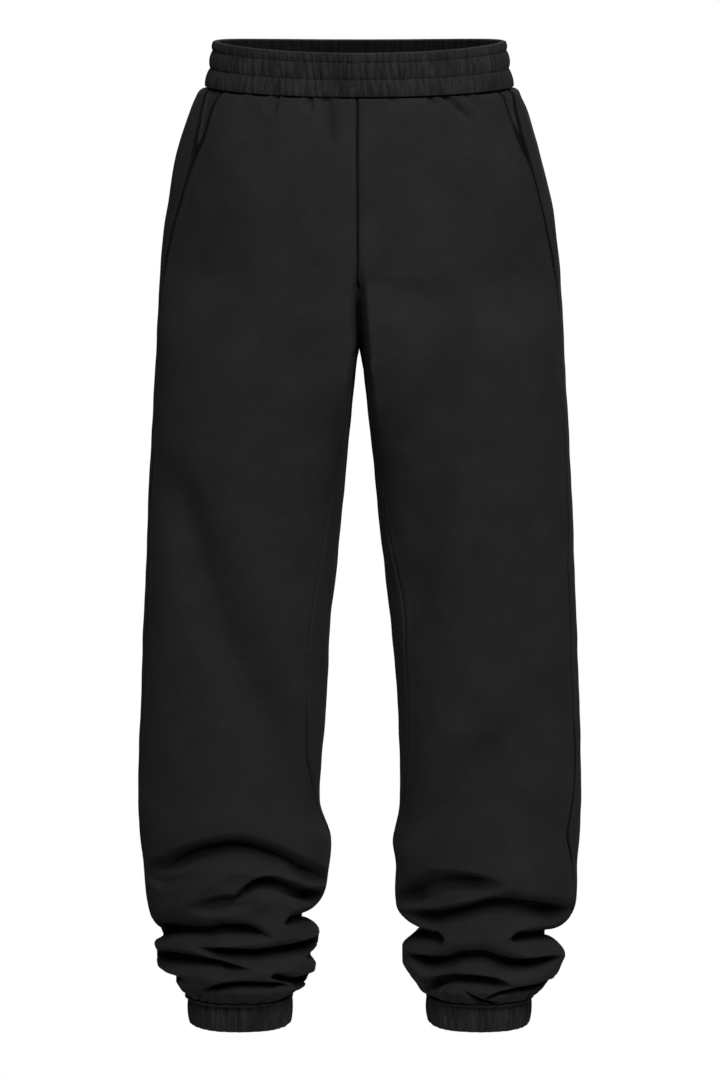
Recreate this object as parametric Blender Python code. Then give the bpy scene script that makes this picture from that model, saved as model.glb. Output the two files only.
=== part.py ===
"""Jogger sweatpants, filled out as if worn, with the waist and both cuffs open.

The frame has +Z up, the front of the garment towards -Y and the wearer's left leg at +X.
The origin is the middle of the waist, half way up the waistband. Sizes are in millimetres
and become metres where a mesh is made. "down" is a distance below the origin. "angle" goes
round one leg: 0 is the outer side, 90 the front, 180 the inner side and -90 the back.
"""

import bpy
import numpy as np

MM = 0.001

SEAM_GAP = 0.3
CLOTH = 2.0

WAISTBAND_TOP = -21.5
WAISTBAND_BOTTOM = 22.0
WAISTBAND_WALL = 4.0
WAISTBAND_DIP = 5.5
DIP_FADE = 140.0
CHANNEL_SEAMS = (-12.5, 4.5)
CHANNEL_SHOULDER = 4.5
CHANNEL_PUFF = 2.4
WAIST_GATHERS = 92
WAIST_GATHER_DEPTH = 0.7
GATHER_WOBBLE = 0.35

CROTCH = 288.0
FRONT_RISE = 125.0
BACK_RISE = 165.0
FORK_CURVE = 1.6
FORK_SOFTNESS = 1.5
THIGH_SOFTNESS = 2.6
SQUARENESS = 0.02
SEAM_LEAN = 2.2
LEAN_WIDTH = 60.0
LEAN_BOTTOM = 200.0

CUFF_TOP = 970.0
CUFF_BOTTOM = 1001.0
CUFF_FLARE = 5.0
CUFF_WALL = 3.0
CUFF_GATHERS = 28
CUFF_GATHER_DEPTH = 1.3
CUFF_PUFF = 2.0

POCKET_BOTTOM = 205.0
MOUTH_MEETS_SEAM = 95.0
FACING_BOTTOM = 118.0
FACING_UNDERLAP = 6.0
FACING_DROP = 3.2
FACING_TUCK = 2.5
FACING_TAIL = 0.8
FACING_SLOPE = 0.6
FACING_LEAST = 4.0
FACING_SHADE = 0.9

FRONT_COLUMNS = 9
BACK_COLUMNS = 11
CROTCH_ROWS = 5
CROTCH_REACH = 28.0
SHARP_ANGLE = 75.0

CLOTH_COLOUR = (0.017, 0.017, 0.018, 1.0)
CLOTH_ROUGHNESS = 0.92


def table(names, *rows):
    """Columns by name, each an array with one entry a row."""
    columns = zip(*rows)
    return {name: np.array(column) for name, column in zip(names.split(), columns)}


# Level sections: how far forward and back the cloth reaches, where each leg is widest,
# and how far from the middle each leg's outer and inner sides are.
SECTIONS = table(
    "down front widest back left_outer left_inner right_outer right_inner",
    (-26, -103, 2, 104, 148, 0, 148, 0),
    (0, -104, 2, 106, 151, 0, 151, 0),
    (22, -106, 1, 108, 157, 0, 157, 0),
    (27, -108, 1, 110, 162.5, 0, 162.5, 0),
    (34, -110, 1, 112, 166, 0, 166, 0),
    (47, -112, 1, 115, 171, 0, 171, 0),
    (77, -117, 0, 124, 181, 0, 181, 0),
    (108, -121, 1, 130, 190, 0, 190, 0),
    (139, -123, 2, 133, 197, 0, 196, 0),
    (185, -125, 4, 135, 203, 0, 202, 0),
    (232, -125, 5, 133, 206, 0, 205, 0),
    (288, -123, 5, 127, 210, 0, 209, 0),
    (345, -118, 4, 119, 214, 7.5, 213, 7),
    (407, -112, 3, 110, 217, 14, 216, 13),
    (470, -105, 2, 102, 221, 20, 220, 19),
    (532, -99, 1, 95, 223, 27, 222, 25),
    (595, -94, 0, 90, 226, 34, 225, 31),
    (659, -90, 0, 87, 228, 38, 228, 34),
    (723, -87, 1, 87, 231, 41, 230, 39),
    (765, -86, 1, 88, 232, 42, 231, 41),
    (808, -86, 3, 90, 229.5, 36, 227.5, 31),
    (840, -86, 4, 92, 225, 41, 222.5, 35),
    (873, -84, 5, 93, 224, 42, 218, 37),
    (892, -83, 6, 93, 223.5, 41, 216, 38),
    (908, -82, 6, 92, 223.5, 43.5, 215.5, 43),
    (922, -80, 7, 91, 219, 45, 212, 44),
    (936, -79, 6, 90, 212.5, 45, 210, 47),
    (946, -77, 6, 86, 208, 49.5, 202, 49),
    (956, -71, 6, 80, 197, 58, 191, 52),
    (965, -64, 5, 72, 190, 65, 185, 63),
    (970, -58, 3, 62, 182, 74, 181.5, 73),
    (975, -51, 1, 50, 178.5, 73, 178, 72),
    (1003, -51, 1, 50, 178, 73, 177.5, 72),
)

# Seams: the angle that each leg's side seam and inseam lie at.
SEAMS = table(
    "down left_side left_inseam right_side right_inseam",
    (22, 17, 180, 14, 180),
    (41, 21, 180, 20, 180),
    (67, 24, 180, 23, 180),
    (100, 25, 180, 25, 180),
    (162, 21.5, 180, 19.5, 180),
    (205, 17.5, 180, 15, 180),
    (240, 16, 180, 14.5, 180),
    (288, 17, 180, 15, 180),
    (320, 18.5, 168, 16, 162),
    (365, 20.5, 164, 18, 157),
    (440, 23, 158, 20, 151),
    (510, 24, 150, 20, 144),
    (580, 24, 147, 18.5, 139),
    (640, 24, 148, 17, 138),
    (703, 25, 152, 16, 146),
    (748, 30, 161, 15, 160),
    (788, 36, 170, 14, 174),
    (812, 31, 174, 13, 179),
    (846, 20, 177, 11, 180),
    (900, 10, 180, 8, 180),
    (975, 8, 180, 5, 180),
)

# Slanted pocket mouths: the angle of the front panel's edge from the waist to the tack.
MOUTHS = table(
    "down left right",
    (22, 30, 31),
    (62, 29.5, 30.5),
    (105, 25.3, 25.5),
    (150, 22.4, 20.6),
    (205, 17.5, 15),
)

# Folds that run round a leg. Each is a valley below a roll of cloth that droops over it.
# "above" and "below" are how far the valley spreads on each side, "fade" is the degrees over
# which an end closes, and the path is a line through (angle, down) pairs.
FOLDS = (
    ("leg", "depth", "above", "below", "droop", "fade", "path"),
    ("right", 22, 12, 16, 3, 34, ((22, 834), (55, 813), (92, 800), (123, 815), (174, 846))),
    ("right", 20, 10, 12, 3, 26, ((84, 857), (108, 836), (142, 851), (176, 862))),
    ("right", 23, 10, 11, 4, 26, ((-16, 914), (18, 896), (71, 888), (95, 884), (122, 896))),
    ("right", 7, 16, 10, 0, 26, ((-70, 930), (0, 905), (44, 898))),
    ("right", 22, 12, 11, 2, 22, ((112, 880), (142, 881), (178, 886), (240, 901))),
    ("right", 20, 9, 13, 4, 26, ((60, 902), (104, 909), (141, 908), (184, 912))),
    ("right", 18, 9, 11, 3, 26, ((2, 927), (38, 921), (75, 922), (104, 928))),
    ("right", 8, 8, 9, 2, 24, ((-60, 958), (0, 949), (52, 941))),
    ("right", 14, 8, 9, 3, 24, ((104, 932), (130, 940), (192, 956))),
    ("right", 6, 9, 10, 1, 26, ((140, 923), (185, 929), (245, 934))),
    ("right", 12, 7, 8, 3, 22, ((56, 954), (93, 943), (138, 953))),
    ("right", 12, 14, 18, 4, 26, ((-180, 812), (-95, 826), (-12, 804))),
    ("right", 16, 10, 13, 4, 26, ((-168, 856), (-80, 868), (-3, 856))),
    ("right", 18, 10, 12, 4, 26, ((-152, 917), (-100, 912), (-30, 906))),
    ("right", 12, 8, 9, 3, 26, ((-128, 946), (-100, 940), (-58, 950))),
    ("left", 18, 14, 16, 2, 26, ((178, 870), (135, 848), (96, 836), (78, 839))),
    ("left", 22, 10, 18, 4, 30, ((164, 877), (127, 872), (91, 859), (58, 861), (10, 874))),
    ("left", 23, 11, 12, 2, 24, ((108, 895), (155, 899), (226, 909))),
    ("left", 27, 12, 12, 3, 22, ((88, 894), (41, 897), (0, 905), (-88, 917))),
    ("left", 22, 9, 12, 4, 26, ((164, 925), (132, 922), (94, 912), (68, 922), (20, 926))),
    ("left", 18, 8, 9, 3, 24, ((154, 962), (110, 940), (96, 940), (66, 945))),
    ("left", 10, 7, 8, 2, 22, ((96, 962), (75, 953), (35, 950), (8, 954))),
    ("left", 12, 14, 18, 4, 26, ((-176, 820), (-85, 806), (-8, 824))),
    ("left", 16, 10, 13, 4, 26, ((-176, 848), (-95, 864), (-18, 850))),
    ("left", 18, 10, 12, 4, 26, ((-176, 908), (-120, 900), (-64, 908))),
    ("left", 12, 8, 9, 3, 26, ((-160, 945), (-95, 940), (-28, 949))),
)
MERGE = 1.8
DROOP_RISE = 1.2
SWELL = 0.10
SWELL_RISE = 2.5
SWELL_WIDTH = 1.5
FOLDS_TOP = 750.0
FOLDS_BLEND = 35.0
LEAST_FACING = 0.5

# Soft troughs that run down a leg. "spread" is half the width of each in millimetres.
TROUGHS = table(
    "leg depth spread down_1 angle_1 down_2 angle_2 down_3 angle_3",
    ("right", 13, 28, 380, 42, 575, 84, 800, 160),
    ("right", -5, 26, 430, 86, 560, 112, 700, 148),
    ("left", 9, 28, 40, 74, 275, 98, 600, 142),
    ("left", 12, 26, 640, 74, 742, 112, 820, 152),
    ("left", -5, 24, 640, 104, 700, 126, 752, 148),
    ("right", 8, 28, 300, -128, 420, -96, 620, -62),
    ("left", 8, 28, 300, -124, 440, -92, 640, -70),
    ("right", 7, 26, 640, -150, 720, -118, 800, -80),
    ("left", 7, 26, 620, -60, 700, -92, 790, -130),
)
TROUGH_FADE = 70.0
LEG_RADIUS = 100.0

# Stretches of the panels, each with evenly spaced rows of points. Two are above the crotch.
# The rows just above the crotch aren't here, because they draw together towards it.
STRETCHES = table(
    "top bottom rows",
    (WAISTBAND_BOTTOM + SEAM_GAP, FACING_BOTTOM, 7),
    (142, 232, 4),
    (292, 322, 3),
    (352, 785, 11),
    (794, 830, 5),
    (834.7, CUFF_TOP - SEAM_GAP, 30),
)
HIP_STRETCHES = 2


def smooth(places, knots, values):
    """A smooth curve through the knots that adds no waves of its own."""
    steps = np.diff(knots)
    slopes = np.diff(values) / steps
    before, after = slopes[:-1], slopes[1:]
    same_way = before * after > 0
    total = np.where(same_way, before + after, 1.0)
    inner = np.where(same_way, 2 * before * after / total, 0.0)
    tangents = np.concatenate([slopes[:1], inner, slopes[-1:]])
    places = np.clip(places, knots[0], knots[-1])
    cell = np.clip(np.searchsorted(knots, places) - 1, 0, len(steps) - 1)
    t = (places - knots[cell]) / steps[cell]
    start = (1 + 2 * t) * (1 - t) ** 2 * values[cell]
    end = t * t * (3 - 2 * t) * values[cell + 1]
    leave = t * (1 - t) ** 2 * steps[cell] * tangents[cell]
    arrive = t * t * (t - 1) * steps[cell] * tangents[cell + 1]
    return start + end + leave + arrive


def ease(t):
    """0 to 1 with soft ends."""
    t = np.clip(t, 0.0, 1.0)
    return t * t * (3 - 2 * t)


def through(x, x1, y1, x2, y2, x3, y3):
    """The parabola through three points."""
    part_1 = y1 * (x - x2) * (x - x3) / ((x1 - x2) * (x1 - x3))
    part_2 = y2 * (x - x1) * (x - x3) / ((x2 - x1) * (x2 - x3))
    part_3 = y3 * (x - x1) * (x - x2) / ((x3 - x1) * (x3 - x2))
    return part_1 + part_2 + part_3


def fork(down, rise, softness=FORK_SOFTNESS):
    """0 where both legs share one section, 1 at the crotch and below."""
    height = np.clip((CROTCH - down) / rise, 0, 1)
    return (1 - height ** softness) ** FORK_CURVE


def rows_of(sheet, leg):
    """The rows of a table that belong to one leg, each as a dictionary."""
    chosen = np.flatnonzero(sheet["leg"] == leg)
    return [{name: sheet[name][row] for name in sheet} for row in chosen]


def fold_shift(leg, angle, down):
    """How far in, and how far down, the folds move the cloth."""
    swollen = np.zeros_like(angle)
    merged = np.zeros_like(angle)
    drooped = np.zeros_like(angle)
    for side, depth, above, below, droop, fade, path in FOLDS[1:]:
        if side != leg:
            continue
        turns, levels = np.array(sorted(path), dtype=float).T
        middle = (turns[0] + turns[-1]) / 2
        turn = (angle - middle + 180) % 360 - 180 + middle
        strength = ease((turn - turns[0]) / fade) * ease((turns[-1] - turn) / fade)
        past = down - smooth(turn, turns, levels)
        valley = np.exp(-(past / np.where(past < 0, above, below)) ** 2)
        merged += (depth * strength * valley) ** MERGE
        swell = np.exp(-((past / above + SWELL_RISE) / SWELL_WIDTH) ** 2)
        swollen += SWELL * depth * strength * swell
        roll = past / above / DROOP_RISE + 1
        drooped += droop * strength * np.exp(-roll ** 2)
    return merged ** (1 / MERGE) - swollen, drooped


def trough_depth(leg, angle, down):
    """How far in the long troughs move the cloth."""
    inward = np.zeros_like(angle)
    for row in rows_of(TROUGHS, leg):
        path = through(down, row["down_1"], row["angle_1"], row["down_2"], row["angle_2"],
                       row["down_3"], row["angle_3"])
        turn = (angle - path + 180) % 360 - 180
        across = np.radians(turn) * LEG_RADIUS
        strength = ease((down - row["down_1"]) / TROUGH_FADE)
        strength = strength * ease((row["down_3"] - down) / TROUGH_FADE)
        inward += row["depth"] * strength * np.exp(-(across / row["spread"]) ** 2)
    return inward


def surface(leg, angle, down, raised=0.0):
    """Points of the outer face of the cloth, in millimetres."""
    angle, down, raised = np.broadcast_arrays(*np.atleast_1d(angle, down, raised))
    folded, drooped = fold_shift(leg, angle, down)
    inward = folded + trough_depth(leg, angle, down) - raised
    front, widest, back = (smooth(down, SECTIONS["down"], SECTIONS[name])
                           for name in ("front", "widest", "back"))
    outer = smooth(down, SECTIONS["down"], SECTIONS[leg + "_outer"])
    inner = smooth(down, SECTIONS["down"], SECTIONS[leg + "_inner"])
    turn = np.radians(angle)
    across = (np.cos(turn) - SQUARENESS * np.cos(3 * turn)) / (1 - SQUARENESS)
    forward = (np.sin(turn) + SQUARENESS * np.sin(3 * turn)) / (1 - SQUARENESS)
    rise = np.where(forward > 0, FRONT_RISE, BACK_RISE)
    apart = fork(down, rise)
    thigh = fork(down, rise, THIGH_SOFTNESS)
    middle = np.where(down < CROTCH, outer * thigh / (1 + thigh), (outer + inner) / 2)
    joined = middle / np.maximum(apart, 0.001)
    inner_half = np.where(down < CROTCH, joined, middle - inner)
    inner_half = np.where(apart < 0.001, outer, inner_half)
    reach = np.where(forward > 0, widest - front, back - widest)
    x = np.where(across > 0, outer - middle, inner_half) * across
    y = -reach * forward
    radius = np.hypot(x, y)
    shrink = 1 - inward / radius
    side = 1 if leg == "left" else -1
    dip_here = WAISTBAND_DIP * ease((DIP_FADE - down) / DIP_FADE)
    in_front = np.clip(np.sin(turn), 0, 1) ** 2
    from_middle = side * (middle + x * shrink)
    lean = SEAM_LEAN * in_front * np.exp(-(from_middle / LEAN_WIDTH) ** 2)
    lean = lean * ease((CROTCH - down) / (CROTCH - LEAN_BOTTOM))
    return np.stack([from_middle - lean,
                     widest + y * shrink,
                     -(down + drooped + dip_here * in_front)], axis=-1)


def outward(leg, angle, down, raised=0.0):
    """Unit normals of the outer face."""
    step = 0.5
    across = surface(leg, angle + step, down, raised) - surface(leg, angle - step, down, raised)
    along = surface(leg, angle, down + step, raised) - surface(leg, angle, down - step, raised)
    normal = np.cross(across, along)
    if leg == "right":
        normal = -normal
    return normal / np.linalg.norm(normal, axis=-1, keepdims=True)


def inner_face(leg, angle, down):
    """Points of the inner face of the cloth.

    It lies square behind the outer face, but level with it among the folds, where it is
    set back further on slopes so that the cloth stays as thick.
    """
    outer = surface(leg, angle, down)
    normal = outward(leg, angle, down)
    inward = surface(leg, angle, down, -1.0) - outer
    facing = np.maximum(-np.sum(inward * normal, axis=-1, keepdims=True), LEAST_FACING)
    level = ease((down - FOLDS_TOP) / FOLDS_BLEND)[..., None]
    return outer + CLOTH * (level / facing * inward - (1 - level) * normal)


def middle_angle(down, rise):
    """The angle at which a section above the crotch crosses the middle of the garment."""
    apart = fork(down, rise)
    turns = np.linspace(90.0, 180.0, 721)
    turn = np.radians(turns)
    across = (np.cos(turn) - SQUARENESS * np.cos(3 * turn)) / (1 - SQUARENESS)
    return np.interp(apart, -across, turns)


def panel_rows():
    """The levels at which the panels have points: close where the cloth folds."""
    even = [np.linspace(top, bottom, rows) for top, bottom, rows
            in zip(STRETCHES["top"], STRETCHES["bottom"], STRETCHES["rows"])]
    to_crotch = CROTCH_REACH * np.linspace(1.0, 0.0, CROTCH_ROWS) ** 2
    return np.concatenate(even[:HIP_STRETCHES] + [CROTCH - to_crotch] + even[HIP_STRETCHES:])


def diagonals(grid):
    """The lengths of the two diagonals of each cell of a grid of points."""
    falling = np.linalg.norm(grid[1:, 1:] - grid[:-1, :-1], axis=-1)
    rising = np.linalg.norm(grid[1:, :-1] - grid[:-1, 1:], axis=-1)
    return falling, rising


def add_wall(name, outer, inner, material, closed=False):
    """A closed wall between two grids of points, rows first, as one object.

    The grids have the same columns. They have the same rows too unless the wall is closed
    into a tube. Both faces of a panel are cut into triangles the same way, so that they
    can't cross where the cloth is folded.
    """
    columns = outer.shape[1]
    outer_last = outer.shape[0] - 1
    inner_last = inner.shape[0] - 1
    spans = columns if closed else columns - 1

    def out(row, column):
        return row * columns + column % columns

    def into(row, column):
        return (outer_last + 1 + row) * columns + column % columns

    falling, rising = diagonals(outer)
    faces = []
    for column in range(spans):
        beside = column + 1
        for row in range(outer_last):
            below = row + 1
            if closed:
                faces.append([out(row, column), out(below, column),
                              out(below, beside), out(row, beside)])
                continue
            corners = [(row, column), (below, column), (below, beside), (row, beside)]
            if rising[row, column] < falling[row, column]:
                corners = corners[1:] + corners[:1]
            first, second, third, fourth = corners
            for triangle in ((first, second, third), (first, third, fourth)):
                faces.append([out(*corner) for corner in triangle])
                faces.append([into(*corner) for corner in triangle[::-1]])
        for row in range(inner_last if closed else 0):
            faces.append([into(row, beside), into(row + 1, beside),
                          into(row + 1, column), into(row, column)])
        faces.append([out(0, column), out(0, beside), into(0, beside), into(0, column)])
        faces.append([into(inner_last, column), into(inner_last, beside),
                      out(outer_last, beside), out(outer_last, column)])
    if not closed:
        last = columns - 1
        for row in range(outer_last):
            faces.append([out(row, 0), into(row, 0), into(row + 1, 0)])
            faces.append([out(row, 0), into(row + 1, 0), out(row + 1, 0)])
            faces.append([out(row, last), into(row + 1, last), into(row, last)])
            faces.append([out(row, last), out(row + 1, last), into(row + 1, last)])
    points = np.concatenate([outer.reshape(-1, 3), inner.reshape(-1, 3)]) * MM
    if signed_volume(points, faces) < 0:
        faces = [face[::-1] for face in faces]
    mesh = bpy.data.meshes.new(name)
    mesh.from_pydata(points.tolist(), [], faces)
    mesh.validate()
    mesh.shade_smooth()
    mesh.set_sharp_from_angle(angle=np.radians(SHARP_ANGLE))
    mesh.materials.append(material)
    piece = bpy.data.objects.new(name, mesh)
    garment.objects.link(piece)
    return piece


def signed_volume(points, faces):
    """Six times the volume that the faces enclose, below zero where they face inwards."""
    total = 0.0
    for face in faces:
        first = points[face[0]]
        for second, third in zip(face[1:], face[2:]):
            total += np.dot(first, np.cross(points[second], points[third]))
    return total


def cloth(name, shade=1.0):
    """The matt charcoal fleece, a little lighter or darker for each piece."""
    material = bpy.data.materials.new(name)
    material.use_nodes = True
    shader = material.node_tree.nodes["Principled BSDF"]
    red, green, blue, alpha = CLOTH_COLOUR
    colour = (red * shade, green * shade, blue * shade, alpha)
    shader.inputs["Base Color"].default_value = colour
    shader.inputs["Roughness"].default_value = CLOTH_ROUGHNESS
    shader.inputs["Metallic"].default_value = 0.0
    material.diffuse_color = colour
    return material


def spread(start, end, columns):
    """Angles from one edge of a panel to the other, a row for each level."""
    steps = np.linspace(0.0, 1.0, columns + 1)
    return start[:, None] + (end - start)[:, None] * steps


def gap_angle(leg, angle, down):
    """The turn that covers half a seam gap at each of these places."""
    moved = surface(leg, angle + 0.5, down) - surface(leg, angle - 0.5, down)
    return SEAM_GAP / 2 / np.linalg.norm(moved, axis=-1)


def front_edges(leg, down):
    """The angles of a front panel's two edges: the side seam or mouth, and the middle."""
    seam = smooth(down, SEAMS["down"], SEAMS[leg + "_side"])
    mouth = smooth(down, MOUTHS["down"], MOUTHS[leg])
    outer_edge = np.where(down < POCKET_BOTTOM, np.maximum(mouth, seam), seam)
    inseam = smooth(down, SEAMS["down"], SEAMS[leg + "_inseam"])
    inner_edge = np.where(down < CROTCH, middle_angle(down, FRONT_RISE), inseam)
    return (outer_edge + gap_angle(leg, outer_edge, down),
            inner_edge - gap_angle(leg, inner_edge, down))


def back_edges(leg, down):
    """The angles of a back panel's two edges: the middle or inseam, and the side seam."""
    seam = smooth(down, SEAMS["down"], SEAMS[leg + "_side"])
    inseam = smooth(down, SEAMS["down"], SEAMS[leg + "_inseam"]) - 360
    inner_edge = np.where(down < CROTCH, -middle_angle(down, BACK_RISE), inseam)
    return (inner_edge + gap_angle(leg, inner_edge, down),
            seam - gap_angle(leg, seam, down))


def add_panel(name, leg, edges, columns):
    """A front or back panel of one leg, from the waistband to the cuff."""
    down = panel_rows()
    start, end = edges(leg, down)
    angle = spread(start, end, columns)
    level = np.broadcast_to(down[:, None], angle.shape)
    outer = surface(leg, angle, level)
    return add_wall(name, outer, inner_face(leg, angle, level), cloth(name))


def add_facing(name, leg):
    """The strip of cloth that shows behind a slanted pocket mouth.

    It starts level with the back panel at the side seam and passes under the front panel.
    Its foot, where the mouth meets the side seam, lies wholly under the front panel.
    """
    down = panel_rows()
    down = down[down < FACING_BOTTOM + SEAM_GAP]
    seam = smooth(down, SEAMS["down"], SEAMS[leg + "_side"])
    mouth = np.maximum(smooth(down, MOUTHS["down"], MOUTHS[leg]), seam)
    tucked = np.where(down > MOUTH_MEETS_SEAM, 1.0, 0.0)
    side_radius = np.linalg.norm(surface(leg, mouth, down)[:, :2], axis=-1)
    underlap = np.degrees(FACING_UNDERLAP / side_radius)
    least = np.degrees(FACING_LEAST / side_radius)
    start = seam + gap_angle(leg, seam, down) + tucked * FACING_TUCK
    under = np.maximum(mouth + tucked * FACING_TUCK, start + least)
    angle = np.stack([start, (start + under) / 2, under, under + underlap], axis=-1)
    deepest = 1 + FACING_TAIL * tucked
    halfway = np.maximum(deepest * tucked, FACING_SLOPE)
    sunk = np.stack([deepest * tucked, halfway, deepest, deepest], axis=-1)
    level = np.broadcast_to(down[:, None], angle.shape)
    outward_here = outward(leg, angle, level)
    outer = surface(leg, angle, level) - FACING_DROP * sunk[..., None] * outward_here
    inner = outer - CLOTH * outward_here
    return add_wall(name, outer, inner, cloth(name, FACING_SHADE))


def round_angles(count, wobble):
    """Angles once round a tube, at crests and hollows in turn, a little uneven."""
    steps = np.arange(count)
    uneven = wobble * np.sin(steps * 2.4) + wobble * np.sin(steps * 1.1 + 1)
    return (steps + GATHER_WOBBLE * uneven) * 360 / count


def add_waistband():
    """The elastic band: three puffed channels with gathers, over a plain inside."""
    first, second = CHANNEL_SEAMS
    profile = table(
        "down puff gather",
        (WAISTBAND_TOP, 0.3, 0.4),
        ((WAISTBAND_TOP + first) / 2, 0.8, 0.9),
        (first, 0.0, 0.7),
        (first + CHANNEL_SHOULDER, 0.9, 1.0),
        (second - CHANNEL_SHOULDER, 0.9, 1.0),
        (second, 0.0, 0.7),
        (second + CHANNEL_SHOULDER, 0.9, 1.0),
        (WAISTBAND_BOTTOM - CHANNEL_SHOULDER, 0.9, 1.0),
        (WAISTBAND_BOTTOM, 0.0, 0.5),
    )
    count = 2 * WAIST_GATHERS
    turn = round_angles(count, 0.5)
    alternate = np.where(np.arange(count) % 2 == 0, 1.0, -1.0)
    uneven = 1 + 0.3 * np.sin(np.arange(count) * 0.9)
    level = np.broadcast_to(profile["down"][:, None], (len(profile["down"]), count))
    gather = WAIST_GATHER_DEPTH * profile["gather"][:, None] * alternate * uneven
    raised = CHANNEL_PUFF * profile["puff"][:, None] + gather
    angle = np.broadcast_to(turn, level.shape)
    outer = surface("left", angle, level, raised)
    inside = surface("left", turn, profile["down"][[0, -1], None], -WAISTBAND_WALL)
    return add_wall("waistband", outer, inside, cloth("waistband"), closed=True)


def add_cuff(name, leg):
    """A short elastic cuff with gathers, over a plain inside."""
    profile = table(
        "down puff gather",
        (CUFF_TOP, 0.2, 0.5),
        (CUFF_TOP + CUFF_FLARE, 0.6, 0.9),
        (CUFF_TOP + 12, 1.0, 1.0),
        (CUFF_TOP + 20, 1.0, 1.0),
        (CUFF_TOP + 27, 0.5, 0.9),
        (CUFF_BOTTOM, -0.9, 0.5),
    )
    count = 2 * CUFF_GATHERS
    turn = round_angles(count, 0.6)
    alternate = np.where(np.arange(count) % 2 == 0, 1.0, -1.0)
    uneven = 1 + 0.35 * np.sin(np.arange(count) * 1.3)
    level = np.broadcast_to(profile["down"][:, None], (len(profile["down"]), count))
    gather = CUFF_GATHER_DEPTH * profile["gather"][:, None] * alternate * uneven
    angle = np.broadcast_to(turn, level.shape)
    outer = surface(leg, angle, level, CUFF_PUFF * profile["puff"][:, None] + gather)
    inner_levels = np.array([CUFF_TOP, CUFF_TOP + CUFF_FLARE, CUFF_BOTTOM])
    inside = surface(leg, turn, inner_levels[:, None], -CUFF_WALL)
    return add_wall(name, outer, inside, cloth(name), closed=True)


for old in list(bpy.data.objects):
    bpy.data.objects.remove(old)

garment = bpy.data.collections.new("jogger_sweatpants")
bpy.context.scene.collection.children.link(garment)

add_waistband()
for leg in ("left", "right"):
    add_panel("front_" + leg, leg, front_edges, FRONT_COLUMNS)
    add_panel("back_" + leg, leg, back_edges, BACK_COLUMNS)
    add_facing("pocket_facing_" + leg, leg)
    add_cuff("cuff_" + leg, leg)
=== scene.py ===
"""Looks for the jogger sweatpants: fleece panels with folds, gathered bands and stitching.

Sizes are in millimetres and become metres where a mesh is made. "down" is a distance below
the origin, which is the middle of the waist. "angle" goes round one leg: 0 is the outer
side, 90 the front, 180 the inner side and -90 the back. "left" is the wearer's left, at +X.
"""

import bpy
import numpy as np
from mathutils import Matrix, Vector


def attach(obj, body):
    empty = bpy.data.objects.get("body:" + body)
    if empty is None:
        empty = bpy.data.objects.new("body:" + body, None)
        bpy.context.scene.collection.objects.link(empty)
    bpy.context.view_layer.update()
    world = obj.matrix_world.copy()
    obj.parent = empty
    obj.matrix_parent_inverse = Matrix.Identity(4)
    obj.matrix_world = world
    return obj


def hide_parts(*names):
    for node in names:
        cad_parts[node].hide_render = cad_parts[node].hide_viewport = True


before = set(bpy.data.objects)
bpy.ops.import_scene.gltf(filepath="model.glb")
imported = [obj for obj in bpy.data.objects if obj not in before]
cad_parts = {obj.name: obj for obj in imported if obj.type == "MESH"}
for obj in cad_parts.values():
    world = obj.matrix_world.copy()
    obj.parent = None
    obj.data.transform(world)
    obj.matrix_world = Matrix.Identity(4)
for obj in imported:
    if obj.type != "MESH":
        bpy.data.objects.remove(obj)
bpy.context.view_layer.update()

MM = 0.001

# ---------------------------------------------------------------- the form, as in the CAD

SEAM_GAP = 0.3
CLOTH = 2.0

WAISTBAND_TOP = -21.5
WAISTBAND_BOTTOM = 22.0
WAISTBAND_WALL = 4.0
WAISTBAND_DIP = 5.5
DIP_FADE = 140.0

CROTCH = 288.0
FRONT_RISE = 85.0
BACK_RISE = 165.0
FORK_CURVE = 1.6
FORK_SOFTNESS = 1.5
THIGH_SOFTNESS = 2.6
SQUARENESS = 0.02
SEAM_LEAN = 2.2
LEAN_WIDTH = 60.0
LEAN_BOTTOM = 262.0

# The narrow hollow in front above the crotch, and the flat cloth on both sides of it.
# Each leg has the distances from the middle where its side of the hollow begins and ends,
# at the top and where it is open.
CLEFT_DEPTH = 38.0
CLEFT_TOP = 192.0
CLEFT_FULL = 264.0
CLEFT_LAST = 256.0
CLEFT_BOTTOM = 304.0
CLEFT_EDGES = {"left": (2.0, 9.5, 11.5), "right": (1.2, 6.0, 7.6)}
CLEFT_CALM = 22.0
FLAT_TOP = 110.0
FLAT_FULL = 203.0
FLAT_LAST = 300.0
FLAT_BOTTOM = 450.0
FLAT_FULLNESS = 1.2
FORWARD_FROM = 0.12
FORWARD_OVER = 0.35

CUFF_TOP = 970.0
CUFF_BOTTOM = 1001.0
CUFF_WALL = 3.0

POCKET_BOTTOM = 205.0
FACING_BOTTOM = 118.0
FACING_DROP = 3.2


def table(names, *rows):
    """Columns by name, each an array with one entry a row."""
    columns = zip(*rows)
    return {name: np.array(column) for name, column in zip(names.split(), columns)}


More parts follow.
